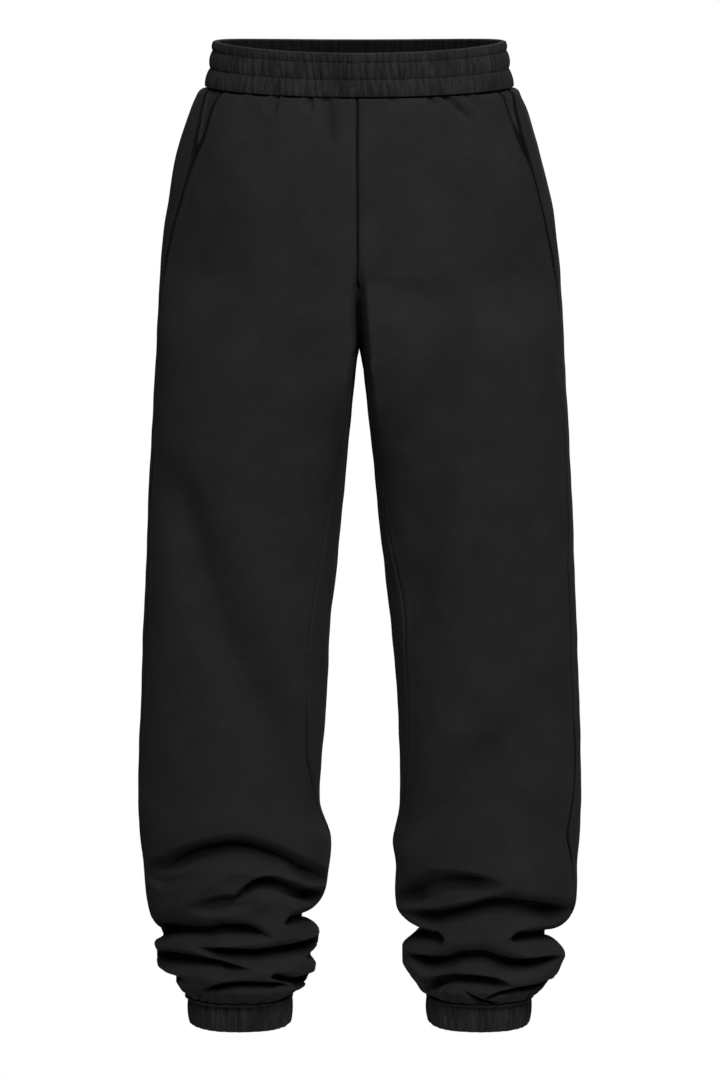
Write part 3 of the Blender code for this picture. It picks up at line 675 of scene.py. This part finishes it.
def fabric(name, low, high, painted_gather_shade=0.0):
    """Brushed charcoal fleece: mottled yarn, a soft nap, a fine knit, and streaks of painted light
    and shade along gathers.
    """
    material, nodes, links, shader = matt_material(name, 0.95, 0.2)
    shader.inputs["Sheen Weight"].default_value = 0.02
    shader.inputs["Sheen Roughness"].default_value = 0.5
    shader.inputs["Sheen Tint"].default_value = (0.8, 0.8, 0.8, 1.0)
    place = nodes.new("ShaderNodeTexCoord")

    def texture(scale, detail, roughness=0.55):
        node = nodes.new("ShaderNodeTexNoise")
        node.inputs["Scale"].default_value = scale
        node.inputs["Detail"].default_value = detail
        node.inputs["Roughness"].default_value = roughness
        links.new(place.outputs["Object"], node.inputs["Vector"])
        return node

    def joined(operation, first, second):
        node = nodes.new("ShaderNodeMath")
        node.operation = operation
        for socket, value in zip(node.inputs, (first, second)):
            if isinstance(value, float):
                socket.default_value = value
            else:
                links.new(value, socket)
        return node.outputs[0]

    blotch = texture(22.0, 4.0)
    yarn = texture(420.0, 3.0, 0.7)
    mixed = joined("ADD", joined("MULTIPLY", blotch.outputs["Fac"], 0.5),
                   joined("MULTIPLY", yarn.outputs["Fac"], 0.5))
    # Streaks along the cloth, as strong as painted_gather_shade, paint the light and shade of
    # gathers into the colour.
    cloth_map = nodes.new("ShaderNodeUVMap")
    cloth_map.uv_map = "cloth"
    drawn = nodes.new("ShaderNodeVectorMath")
    drawn.operation = "MULTIPLY"
    drawn.inputs[1].default_value = (1.0, 0.1, 1.0)
    links.new(cloth_map.outputs["UV"], drawn.inputs[0])
    lines = texture(300.0, 2.0)
    links.new(drawn.outputs[0], lines.inputs["Vector"])
    centred = joined("SUBTRACT", lines.outputs["Fac"], 0.5)
    mixed = joined("ADD", mixed, joined("MULTIPLY", centred, painted_gather_shade))
    ramp = grey_ramp(nodes, low, high)
    ramp.color_ramp.elements[0].position = 0.36
    ramp.color_ramp.elements[1].position = 0.64
    links.new(mixed, ramp.inputs["Fac"])
    links.new(ramp.outputs["Color"], shader.inputs["Base Color"])

    apart = nodes.new("ShaderNodeSeparateXYZ")
    links.new(cloth_map.outputs["UV"], apart.inputs[0])
    wale = joined("SINE", joined("MULTIPLY", apart.outputs["X"], 2 * np.pi / WALE), 0.0)
    course = joined("SINE", joined("MULTIPLY", apart.outputs["Y"], 2 * np.pi / COURSE), 0.0)
    stitch = joined("ADD", wale, joined("MULTIPLY", course, 0.5))
    nap = texture(900.0, 4.0, 0.7)
    tuft = texture(160.0, 3.0, 0.6)
    height = joined("ADD", joined("MULTIPLY", stitch, KNIT),
                    joined("ADD", joined("MULTIPLY", nap.outputs["Fac"], 0.5),
                           joined("MULTIPLY", tuft.outputs["Fac"], 1.0)))
    bump = nodes.new("ShaderNodeBump")
    bump.inputs["Strength"].default_value = 0.5
    bump.inputs["Distance"].default_value = 0.0006
    links.new(height, bump.inputs["Height"])
    links.new(bump.outputs["Normal"], shader.inputs["Normal"])
    return material


def thread_material(name):
    """Matt polyester sewing thread, a little darker than the cloth, with its twist."""
    material, nodes, links, shader = matt_material(name, 0.9, 0.1)
    place = nodes.new("ShaderNodeTexCoord")
    twist = nodes.new("ShaderNodeTexNoise")
    twist.inputs["Scale"].default_value = 1500.0
    links.new(place.outputs["Object"], twist.inputs["Vector"])
    ramp = grey_ramp(nodes, 0.009, 0.017)
    links.new(twist.outputs["Fac"], ramp.inputs["Fac"])
    links.new(ramp.outputs["Color"], shader.inputs["Base Color"])
    bump = nodes.new("ShaderNodeBump")
    bump.inputs["Strength"].default_value = 0.4
    bump.inputs["Distance"].default_value = 0.0002
    links.new(twist.outputs["Fac"], bump.inputs["Height"])
    links.new(bump.outputs["Normal"], shader.inputs["Normal"])
    return material


FLEECE = fabric("charcoal_fleece", 0.0138, 0.0208)
# The band and the cuffs carry streaks of painted light and shade along their gathers.
BAND = fabric("charcoal_band", 0.0095, 0.0245, painted_gather_shade=0.9)
# The inside of the waistband is painted much darker than the cloth: painted shade for the shadow
# inside the band.
BAND_INSIDE_PAINTED_SHADE = fabric("charcoal_band_inside_painted_shade", 0.0006, 0.0040, painted_gather_shade=1.2)
# The band's top rim is painted lighter than the cloth: a painted highlight where the rim catches the
# light from above.
BAND_RIM_PAINTED_HIGHLIGHT = fabric("charcoal_band_rim_painted_highlight", 0.022, 0.042, painted_gather_shade=0.5)
# Near-black cloth for cells beside seams, inside pocket mouths and in the crotch hollow: painted
# shade that stands in for the shadow there.
SEAM_PAINTED_SHADE = fabric("charcoal_seam_painted_shade", 0.0012, 0.0032)
THREAD = thread_material("charcoal_thread")

# ---------------------------------------------------------------- panels

# The roll of the cloth into a seam, the slit between two panels, and what is turned under.
ROLL_DEPTH = 1.7
SLIT_DEPTH = 6.0
SLIT_WIDTH = 0.95
# How far from a seam, inside a pocket mouth and at the crotch hollow the cloth is painted near
# black: painted shade for the shadow there.
SHADE_SIDE = 2.8
SHADE_LIP = 0.5
SHADE_MIDDLE = 0.95
SHADE_MOUTH = 10.5
SHADE_CROTCH = 34.0
CROTCH_SHADE = (226, 362)
TUCK_DEPTH = 8.2
TUCK_WALL = 1.1
# How far the panels run under the band and into the cuffs, and the sewn ridge of a seam.
UNDER_BAND = 5.4
UNDER_CUFF = 4.4
WELT = 0.9
STITCH_LINE = 4.6
MOUTH_SHADE = 8.0
TUCKS = np.array([6.5, 3.2, 0.9])
FRONT_COLUMNS = 92
BACK_COLUMNS = 112
FACING_ROWS = 60
FACING_COLUMNS = 52


def edge_depth(past):
    """How far the cloth sinks at this distance inside a seam."""
    past = np.maximum(past, 0)
    slit = SLIT_DEPTH * np.exp(-(past / SLIT_WIDTH) ** 2)
    return ROLL_DEPTH * np.exp(-(past / 1.7) ** 1.4) + slit


def welt(past, height, stitched):
    """The soft ridge over a seam allowance, and the furrow of the stitching on it."""
    ridge = height * ease(past / 1.4) * (1 - ease((past - 5.5) / 4.5))
    return ridge - stitched * np.exp(-((past - STITCH_LINE) / 0.8) ** 2)


def panel_levels():
    """The levels at which the panels have points: closest where the cloth folds."""
    return np.concatenate([
        [WAISTBAND_BOTTOM - 5.0, WAISTBAND_BOTTOM - 0.8],
        WAISTBAND_BOTTOM + SEAM_GAP / 2 + np.array([0.0, 0.6, 1.2, 2.0]),
        np.linspace(25.5, 60.0, 24),
        np.linspace(60.0, 200.0, 42)[1:],
        np.linspace(200.0, 320.0, 81)[1:],
        np.linspace(320.0, 760.0, 130)[1:],
        np.linspace(760.0, CUFF_TOP - 2.5, 224)[1:],
        CUFF_TOP - SEAM_GAP / 2 - np.array([2.0, 1.2, 0.6, 0.0])[1:],
        [CUFF_TOP + 0.8, CUFF_TOP + 4.5],
    ])


def clustered(columns):
    """Shares of the way across a panel, closer together at both edges."""
    near = np.array([0.0, 0.0014, 0.003, 0.005, 0.0075, 0.0103, 0.0135, 0.017, 0.0208, 0.025,
                     0.0295, 0.0345, 0.04, 0.046, 0.0525])
    return np.concatenate([near, np.linspace(0.06, 0.94, columns - 5), 1 - near[::-1]])


def panel_grid(leg, edges, columns, tuck_start, tuck_end):
    """The grid of a panel: points, angles, and the distance from each of its edges."""
    down = panel_levels()
    start, end = edges(leg, down)
    angle = start[:, None] + (end - start)[:, None] * clustered(columns)
    level = np.broadcast_to(down[:, None], angle.shape)
    points = surface(leg, angle, level, relief(leg, angle, level))
    from_start = walked(points, 1)
    from_end = from_start[:, -1:] - from_start
    far = np.full((len(down), len(TUCKS)), 999.0)
    before_edge = np.outer(np.ones(len(down)), -TUCKS)
    for tucked, edge, sign in ((tuck_start, start, -1), (tuck_end, end, 1)):
        if not tucked:
            continue
        width = ease(np.abs(down - CROTCH) / 14) if tucked == "middle" else 1.0
        other = "right" if leg == "left" else "left"
        per_degree = degree_length(leg, edge, down)
        beyond = []
        for reach in TUCKS:
            turned = reach * width / per_degree
            own = edge + sign * turned
            here = surface(leg, own, down, relief(leg, own, down))
            if tucked == "middle":
                across = edge - sign * turned
                there = surface(other, across, down, relief(other, across, down))
                here = np.where((down < CROTCH)[:, None], there, here)
            beyond.append(here)
        extra = np.stack(beyond, axis=1)
        if sign < 0:
            points = np.concatenate([extra, points], axis=1)
            from_start = np.concatenate([before_edge, from_start], axis=1)
            from_end = np.concatenate([far, from_end], axis=1)
        else:
            points = np.concatenate([points, extra[:, ::-1]], axis=1)
            from_end = np.concatenate([from_end, before_edge[:, ::-1]], axis=1)
            from_start = np.concatenate([from_start, far], axis=1)
    return down, points, from_start, from_end


def shade(piece, shaded):
    """Gives the outer cells of a sheet that lie within these points a near-black colour: painted
    shade for the shadow in and beside a seam.
    """
    piece.data.materials.append(SEAM_PAINTED_SHADE)
    cells = shaded[:-1, :-1] & shaded[1:, 1:]
    chosen = np.zeros(len(piece.data.polygons), dtype=np.int32)
    chosen[:cells.size] = cells.ravel()
    piece.data.polygons.foreach_set("material_index", chosen)


def cloth_map(points):
    """UVs of real length in metres: across from the middle column, and down it."""
    middle = points.shape[1] // 2
    across = walked(points, 1)
    across = across - across[:, middle:middle + 1]
    along = walked(points[:, middle], 0)
    return np.stack([across, np.broadcast_to(-along[:, None], across.shape)], axis=-1) * MM


def add_panel(name, leg, edges, columns, tucks, welts):
    """A front or back panel of one leg, from under the waistband to inside the cuff."""
    down, points, from_start, from_end = panel_grid(leg, edges, columns, *tucks)
    normal = outward(normals_of(points), points, points.mean(axis=1, keepdims=True))
    sunk = np.zeros(points.shape[:2])
    in_front = name.startswith("front")
    calm = ease((down - CLEFT_TOP + 6) / CLEFT_CALM) * ease((CLEFT_BOTTOM + 26 - down) / 26)
    kept = 1 - calm[:, None] * in_front
    for past, (height, stitched), share in ((from_start, welts[0], 1.0),
                                            (from_end, welts[1], kept)):
        sunk = sunk + share * (edge_depth(past) - welt(np.maximum(past, 0), height, stitched))
    from_top = down - WAISTBAND_BOTTOM
    from_foot = CUFF_TOP - down
    sunk = sunk + (edge_depth(from_top) + 0.3 * edge_depth(from_foot))[:, None]
    wall = CLOTH * (0.45 + 0.55 * ease(np.minimum(from_start, from_end) / 3))
    tucked = (from_start < 0) | (from_end < 0)
    sunk = np.where(tucked, TUCK_DEPTH, sunk)
    wall = np.where(tucked, TUCK_WALL, wall)
    sunk = np.where((from_top < 0)[:, None], UNDER_BAND, sunk)
    sunk = np.where((from_foot < 0)[:, None], UNDER_CUFF, sunk)
    wall = np.where(((from_top < 0) | (from_foot < 0))[:, None], TUCK_WALL, wall)
    outer = points - sunk[..., None] * normal
    inner = outer - wall[..., None] * normal
    piece = add_sheet(name + "_cloth", outer, inner, 3, cloth_map(outer), FLEECE)
    # Cells near the seams, and a wide strip at the crotch hollow in front, get near-black painted
    # shade for the shadow there.
    above = (down < CROTCH)[:, None]
    middle_shade = np.where(above, SHADE_MIDDLE, SHADE_LIP)
    if in_front:
        in_crotch = ease((down - CROTCH_SHADE[0]) / 40) * ease((CROTCH_SHADE[1] - down) / 74)
        shaded = from_end < middle_shade + SHADE_CROTCH * in_crotch[:, None]
        shaded = shaded | (from_start < SHADE_LIP)
    else:
        shaded = (from_start < middle_shade) | (from_end < SHADE_SIDE)
    shade(piece, shaded)
    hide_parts(name)
    return {"piece": piece, "down": down, "outer": outer, "normal": normal,
            "from_start": from_start, "from_end": from_end}


def bead_loop(profile, leg, turn, detail):
    """Points of a ring: for each profile row a level, a height and how gathered it is."""
    level = np.broadcast_to(profile["down"][:, None], (len(profile["down"]), len(turn)))
    angle = np.broadcast_to(turn, level.shape)
    raised = profile["height"][:, None] + detail(angle, level, profile)
    return surface(leg, angle, level, raised)


def ring_map(points):
    """UVs of real length for a ring that is closed both ways."""
    across, along = walked(points[0], 0, closed=True), walked(points[:, 0], 0, closed=True)
    return np.stack(np.meshgrid(across, -along), axis=-1) * MM


CHANNEL_SEAMS = (-12.5, 4.5)
CHANNELS = ((WAISTBAND_TOP, -12.5), (-12.5, 4.5), (4.5, WAISTBAND_BOTTOM))
CHANNEL_PUFF = 2.3
CHANNEL_ROWS = (13, 19, 19)
CHANNEL_SHARE = (0.62, 1, 1)
BAND_HEIGHT = WAISTBAND_BOTTOM - WAISTBAND_TOP
BAND_JOIN = 93.6
# The parts of the band's wall after its three channels.
UNDERSIDE, INSIDE, RIM = 3, 4, 5
SIDE_LIFT = 2.0
BACK_DROP = 1.8
BAND_COLUMNS = 920
CUFF_COLUMNS = 380


def channel_profile(top, bottom, rows, puff):
    """One puffed channel: levels from top to bottom, and how far each stands out."""
    share = np.linspace(0, 1, rows)
    eased = 0.5 - 0.5 * np.cos(np.pi * share)
    return top + (bottom - top) * eased, puff * np.sin(np.pi * eased) ** 0.62


def profile_of(rows):
    """A ring's wall as columns: levels, how far it stands out, how gathered, which part."""
    return {name: np.array(column) for name, column in
            zip(("down", "height", "gather", "channel"), zip(*rows))}


def band_profile():
    """The outline of the waistband's wall, round from its top edge and back inside."""
    wall = []
    for number, (top, bottom) in enumerate(CHANNELS):
        levels, puffs = channel_profile(top, bottom, CHANNEL_ROWS[number],
                                        CHANNEL_PUFF * CHANNEL_SHARE[number])
        wall += [(level, puff, 0.45 + 0.55 * puff / CHANNEL_PUFF, number)
                 for level, puff in zip(levels[1:], puffs[1:])]
    wall += [(WAISTBAND_BOTTOM, -2.4, 0.3, UNDERSIDE),
             (WAISTBAND_BOTTOM - 1.2, -4.2, 0.3, UNDERSIDE)]
    for level in np.linspace(WAISTBAND_BOTTOM - 3, WAISTBAND_TOP + 3, 18):
        bulge = 0.9 * np.sin(np.pi * (level - WAISTBAND_TOP) / BAND_HEIGHT) ** 0.5
        wall.append((level, -WAISTBAND_WALL - bulge, 1.3, INSIDE))
    for bend in np.pi * np.array([0.12, 0.3, 0.5, 0.7, 0.88]):
        wall.append((WAISTBAND_TOP + 1.6 - 2.2 * np.sin(bend), -2.0 - 2.2 * np.cos(bend),
                     0.7, RIM))
    return profile_of(wall)


def band_gathers(angle, level, profile):
    """The fine furrows of the waistband, which differ from channel to channel."""
    raised = np.zeros(angle.shape)
    for number, furrows in enumerate((150, 128, 122, 120, 118)):
        chosen = profile["channel"] == number
        if number == 0:
            chosen = chosen | (profile["channel"] == RIM)
        lean = 0.05 * (level[chosen] - 4)
        common = ruffle(angle[chosen] + lean, 88, 31) - 0.55
        own = ruffle(angle[chosen] + lean, furrows, 40 + number) - 0.55
        raised[chosen] = 1.5 * own + 1.3 * common
    raised = raised * (0.8 + 0.9 * np.sin(np.radians(angle)) ** 2)
    from_join = (angle - BAND_JOIN) * np.radians(150.0)
    join = 1.6 * np.exp(-(from_join / 0.9) ** 2) - 1.2 * np.exp(-((from_join - 2.2) / 1.2) ** 2)
    raised = raised * profile["gather"][:, None]
    return raised - np.where(profile["channel"][:, None] != INSIDE, join, 0.0)


def settled(points, profile):
    """The band with its top edge a little higher at the sides and lower at the back."""
    turn = np.radians(np.linspace(0, 360, points.shape[1], endpoint=False))
    height = np.clip((WAISTBAND_BOTTOM - profile["down"]) / BAND_HEIGHT, 0, 1)[:, None]
    lift = SIDE_LIFT * np.cos(turn) ** 2 - BACK_DROP * np.clip(-np.sin(turn), 0, 1) ** 2
    moved = points.copy()
    moved[..., 2] += lift * height
    return moved


def add_waistband():
    """The doubled band over elastic: three puffed channels, open at the top."""
    profile = band_profile()
    turn = np.linspace(0, 360, BAND_COLUMNS, endpoint=False)
    points = settled(bead_loop(profile, "left", turn, band_gathers), profile)
    piece = add_ring("waistband_cloth", points, ring_map(points), BAND)
    # The inside wall gets the darker cloth, which is painted shade for the shadow inside the band.
    piece.data.materials.append(BAND_INSIDE_PAINTED_SHADE)
    # The top rim gets the lighter cloth, which is a painted highlight.
    piece.data.materials.append(BAND_RIM_PAINTED_HIGHLIGHT)
    kind = np.where(profile["channel"] == INSIDE, 1, np.where(profile["channel"] == RIM, 2, 0))
    piece.data.polygons.foreach_set("material_index",
                                    np.repeat(kind, BAND_COLUMNS).astype(np.int32))
    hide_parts("waistband")
    return points, profile


def cuff_profile():
    """The outline of a cuff's wall, round from its top seam and back inside."""
    wall = []
    length = CUFF_BOTTOM - CUFF_TOP
    for share in np.linspace(0, 1, 30)[:-1]:
        level = CUFF_TOP + 0.3 + (length - 2.2) * share
        puff = 2.2 * np.sin(np.pi * np.clip(0.08 + 0.86 * share, 0, 1)) ** 0.6
        puff += 2.0 * np.exp(-((level - CUFF_TOP - 1.8) / 1.8) ** 2)
        wall.append((level, puff, 0.5 + 0.5 * np.sin(np.pi * share), 0))
    for bend in np.pi * np.array([0.1, 0.3, 0.5, 0.7, 0.9]):
        wall.append((CUFF_BOTTOM - 1.8 + 1.9 * np.sin(bend), -1.4 + 2.2 * np.cos(bend), 0.5, 0))
    for share in np.linspace(0, 1, 16):
        wall.append((CUFF_BOTTOM - 3 - (length - 4) * share, -CUFF_WALL - 0.6, 0.6, 0))
    return profile_of(wall)


def add_cuff(name, leg):
    """A short cuff of doubled cloth, gathered by its elastic."""
    profile = cuff_profile()
    turn = np.linspace(0, 360, CUFF_COLUMNS, endpoint=False)
    seed = 61 if leg == "left" else 62

    def gathers(angle, level, profile):
        lean = 0.12 * (level - CUFF_TOP)
        own = ruffle(angle + lean, 33, seed) - 0.6
        fine = ruffle(angle + lean, 58, seed + 5) - 0.6
        return (2.8 * own + 0.8 * fine) * profile["gather"][:, None]

    points = bead_loop(profile, leg, turn, gathers)
    piece = add_ring(name + "_cloth", points, ring_map(points), BAND)
    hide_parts(name)


def add_facing(leg):
    """The strip of pocket cloth that shows behind a slanted mouth."""
    name = "pocket_facing_" + leg
    down = np.linspace(WAISTBAND_BOTTOM - 2.5, FACING_BOTTOM + 6, FACING_ROWS)
    seam = smooth(down, SEAMS["down"], SEAMS[leg + "_side"])
    mouth = np.maximum(smooth(down, MOUTHS["down"], MOUTHS[leg]), seam)
    per_degree = degree_length(leg, mouth, down)
    end = mouth + 16 / per_degree
    start = seam - 3.0 / per_degree
    angle = start[:, None] + (end - start)[:, None] * np.linspace(0, 1, FACING_COLUMNS)
    level = np.broadcast_to(down[:, None], angle.shape)
    plain = surface(leg, angle, level, relief(leg, angle, level))
    axis_points = plain.mean(axis=1, keepdims=True) * np.array([0, 0, 1])
    normal = outward(normals_of(plain), plain, axis_points)
    past_seam = (angle - seam[:, None]) * per_degree[:, None]
    to_mouth = (mouth[:, None] - angle) * per_degree[:, None]
    strip = ease(past_seam / 6) * FACING_DROP + edge_depth(np.abs(past_seam))
    strip = strip + MOUTH_SHADE * np.exp(-(np.maximum(to_mouth, 0) / 6.0) ** 2)
    sunk = np.where(past_seam < 0, TUCK_DEPTH, strip)
    sunk = np.where(to_mouth < 1.5, FACING_DROP + MOUTH_SHADE + 0.9, sunk)
    sunk = np.where((down < WAISTBAND_BOTTOM)[:, None], UNDER_BAND, sunk)
    outer = plain - sunk[..., None] * normal
    inner = outer - 1.2 * normal
    piece = add_sheet(name + "_cloth", outer, inner, 3, cloth_map(outer), FLEECE)
    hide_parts(name)
    # Near-black painted shade inside the mouth and beside the side seam, standing in for the shadow
    # there.
    shade(piece, (to_mouth < SHADE_MOUTH) | (past_seam < SHADE_LIP))


# ---------------------------------------------------------------- stitching

def trace(panel, edge, distance, top, bottom):
    """A line along a panel at this distance inside one edge, with its normals."""
    past = panel[edge]
    rows = np.flatnonzero((panel["down"] >= top) & (panel["down"] <= bottom))
    line, normals = [], []
    for row in rows:
        near = np.where(past[row] >= 0, past[row], 999.0)
        order = np.argsort(near)
        spots = near[order]
        inside = spots < 900
        for axis, target in ((panel["outer"], line), (panel["normal"], normals)):
            target.append([np.interp(distance, spots[inside], axis[row, order, k][inside])
                           for k in range(3)])
    return np.array(line), np.array(normals)


def resample(line, normals, pitch):
    """Places at an even pitch along a line, with their directions and normals."""
    length = walked(line, 0)
    spots = np.arange(pitch / 2, length[-1] - pitch / 2, pitch)

    def at(values, places):
        return np.stack([np.interp(places, length, values[:, k]) for k in range(3)], axis=1)

    centre = at(line, spots)
    way = at(line, spots + 0.6) - at(line, spots - 0.6)
    way /= np.linalg.norm(way, axis=1, keepdims=True)
    out = at(normals, spots)
    out /= np.linalg.norm(out, axis=1, keepdims=True)
    return centre, way, out


def add_stitches(name, lines, pitch, length, radius, lift=0.15):
    """Sewing stitches: short bent threads with round ends, joined in one mesh."""
    centres, ways, outs = [], [], []
    for line, normals in lines:
        centre, way, out = resample(line, normals, pitch)
        centres.append(centre)
        ways.append(way)
        outs.append(out)
    centre, way, out = (np.concatenate(group) for group in (centres, ways, outs))
    across = np.cross(way, out)
    across /= np.linalg.norm(across, axis=1, keepdims=True)
    along = np.array([-0.5, -0.44, -0.25, 0.0, 0.25, 0.44, 0.5]) * length
    width = np.array([0.25, 0.75, 1.0, 1.05, 1.0, 0.75, 0.25]) * radius
    arch = np.array([-0.9, -0.35, 0.1, 0.2, 0.1, -0.35, -0.9]) * radius
    sides = 6
    turns = np.arange(sides) * 2 * np.pi / sides
    points = (centre[:, None, None] + way[:, None, None] * along[None, :, None, None]
              + out[:, None, None] * (lift + arch[:, None] + width[:, None]
                                      * np.sin(turns))[None, ..., None]
              + across[:, None, None] * (width[:, None] * np.cos(turns))[None, ..., None])
    rings = len(along)
    each = rings * sides
    pattern = []
    for ring in range(rings - 1):
        for side in range(sides):
            beside = (side + 1) % sides
            pattern.append([ring * sides + side, ring * sides + beside,
                            (ring + 1) * sides + beside, (ring + 1) * sides + side])
    caps = [list(range(sides))[::-1], [each - sides + side for side in range(sides)]]
    flat = points.reshape(-1, 3)
    starts = np.arange(len(centre)) * each
    faces = (np.array(pattern)[None] + starts[:, None, None]).reshape(-1, 4).tolist()
    for start in starts.tolist():
        faces += [[start + place for place in cap] for cap in caps]
    if volume_of(flat[:each], pattern + caps) < 0:
        faces = [face[::-1] for face in faces]
    corners = sum(len(face) for face in faces)
    return build(name, flat, faces, np.zeros((corners, 2)), THREAD, sharp=80)


def ring_line(points, row):
    """One closed row of a ring of points, and the normals along it, out of its wall."""
    normal = normals_of(points, closed=True)
    side = points.shape[0] // 4
    centre = points[side].mean(axis=0)
    if np.einsum("ij,ij->", normal[side], points[side] - centre) < 0:
        normal = -normal
    return (np.concatenate([points[row], points[row, :1]]),
            np.concatenate([normal[row], normal[row, :1]]))


def nearest_row(profile, level, chosen):
    """The row of a profile that is nearest a level, of those that are chosen."""
    return int(np.argmin(np.where(chosen, np.abs(profile["down"] - level), 999.0)))


# ---------------------------------------------------------------- the garment

band_points, band_rows = add_waistband()
panels = {}
for leg in ("left", "right"):
    over_middle = leg == "left"
    panels["front_" + leg] = add_panel(
        "front_" + leg, leg, front_edges, FRONT_COLUMNS,
        (None, None if over_middle else "middle"),
        ((WELT, 0.35), (WELT, 0.35) if over_middle else (0.15, 0.0)))
    panels["back_" + leg] = add_panel(
        "back_" + leg, leg, back_edges, BACK_COLUMNS,
        (None if over_middle else "middle", "side"),
        ((WELT, 0.35) if over_middle else (0.15, 0.0), (0.15, 0.0)))
    add_facing(leg)
for leg in ("left", "right"):
    add_cuff("cuff_" + leg, leg)

lines = []
for leg in ("left", "right"):
    lines.append(trace(panels["front_" + leg], "from_start", STITCH_LINE, 23, POCKET_BOTTOM))
lines.append(trace(panels["front_left"], "from_end", STITCH_LINE, 23, CROTCH - 8))
lines.append(trace(panels["back_left"], "from_start", STITCH_LINE, 23, CROTCH - 8))
add_stitches("topstitching", lines, pitch=3.3, length=2.5, radius=0.24)

lines = []
for level in CHANNEL_SEAMS:
    wall = band_rows["channel"] < INSIDE
    lines.append(ring_line(band_points, nearest_row(band_rows, level, wall)))
add_stitches("channel_stitching", lines, pitch=3.6, length=2.8, radius=0.26)

# ---------------------------------------------------------------- stage, light and camera


def add_light(name, place, aim, size, power, tint=(1.0, 1.0, 1.0)):
    """A soft rectangular lamp at a place, turned to what it lights."""
    lamp = bpy.data.lights.new(name, "AREA")
    lamp.shape = "RECTANGLE"
    lamp.size, lamp.size_y = size
    lamp.energy = power
    lamp.color = tint
    holder = bpy.data.objects.new(name, lamp)
    bpy.context.scene.collection.objects.link(holder)
    holder.location = place
    way = Vector(aim) - Vector(place)
    holder.rotation_euler = way.to_track_quat("-Z", "Y").to_euler()


def add_stage():
    """A plain pale floor below the garment, and a white room around it."""
    mesh = bpy.data.meshes.new("floor")
    turn = np.linspace(0, 2 * np.pi, 96, endpoint=False)
    rim = np.stack([1.3 * np.cos(turn), 1.3 * np.sin(turn), np.full(96, -1.9)], axis=1)
    mesh.from_pydata(rim.tolist(), [], [list(range(96))])
    floor = bpy.data.objects.new("floor", mesh)
    bpy.context.scene.collection.objects.link(floor)
    pale, _, _, shader = matt_material("pale_floor", 0.9, 0.5)
    shader.inputs["Base Color"].default_value = (0.9, 0.9, 0.9, 1)
    mesh.materials.append(pale)
    world = bpy.data.worlds.new("white_room")
    bpy.context.scene.world = world
    world.use_nodes = True
    nodes, links = world.node_tree.nodes, world.node_tree.links
    seen = nodes["Background"]
    seen.inputs["Color"].default_value = (1, 1, 1, 1)
    seen.inputs["Strength"].default_value = 1.0
    felt = nodes.new("ShaderNodeBackground")
    felt.inputs["Color"].default_value = (1, 1, 1, 1)
    felt.inputs["Strength"].default_value = 0.035
    ray = nodes.new("ShaderNodeLightPath")
    mix = nodes.new("ShaderNodeMixShader")
    links.new(ray.outputs["Is Camera Ray"], mix.inputs["Fac"])
    links.new(felt.outputs[0], mix.inputs[1])
    links.new(seen.outputs[0], mix.inputs[2])
    links.new(mix.outputs[0], nodes["World Output"].inputs["Surface"])


add_stage()
add_light("key", (0.5, -3.6, 2.3), (0, 0, -0.5), (2.4, 2.2), 175)
add_light("right_fill", (3.0, -1.2, 2.1), (0, 0, -0.5), (1.2, 1.6), 20)
add_light("left_fill", (-3.0, -1.6, 1.8), (0, 0, -0.5), (1.2, 1.6), 5)
add_light("rear", (0.4, 3.6, 1.8), (0, 0, -0.5), (2.4, 1.8), 40)

camera_data = bpy.data.cameras.new("camera")
camera = bpy.data.objects.new("camera", camera_data)
bpy.context.scene.collection.objects.link(camera)
camera_data.sensor_width = 36.0
camera_data.lens = 163.0
camera.location = (0.0005, -5.0, 0.27)
look = Vector((0.0005, 0.0, -0.4905)) - Vector(camera.location)
camera.rotation_euler = look.to_track_quat("-Z", "Y").to_euler()
camera_data.clip_end = 100.0
bpy.context.scene.camera = camera
bpy.context.scene.view_settings.view_transform = "Standard"
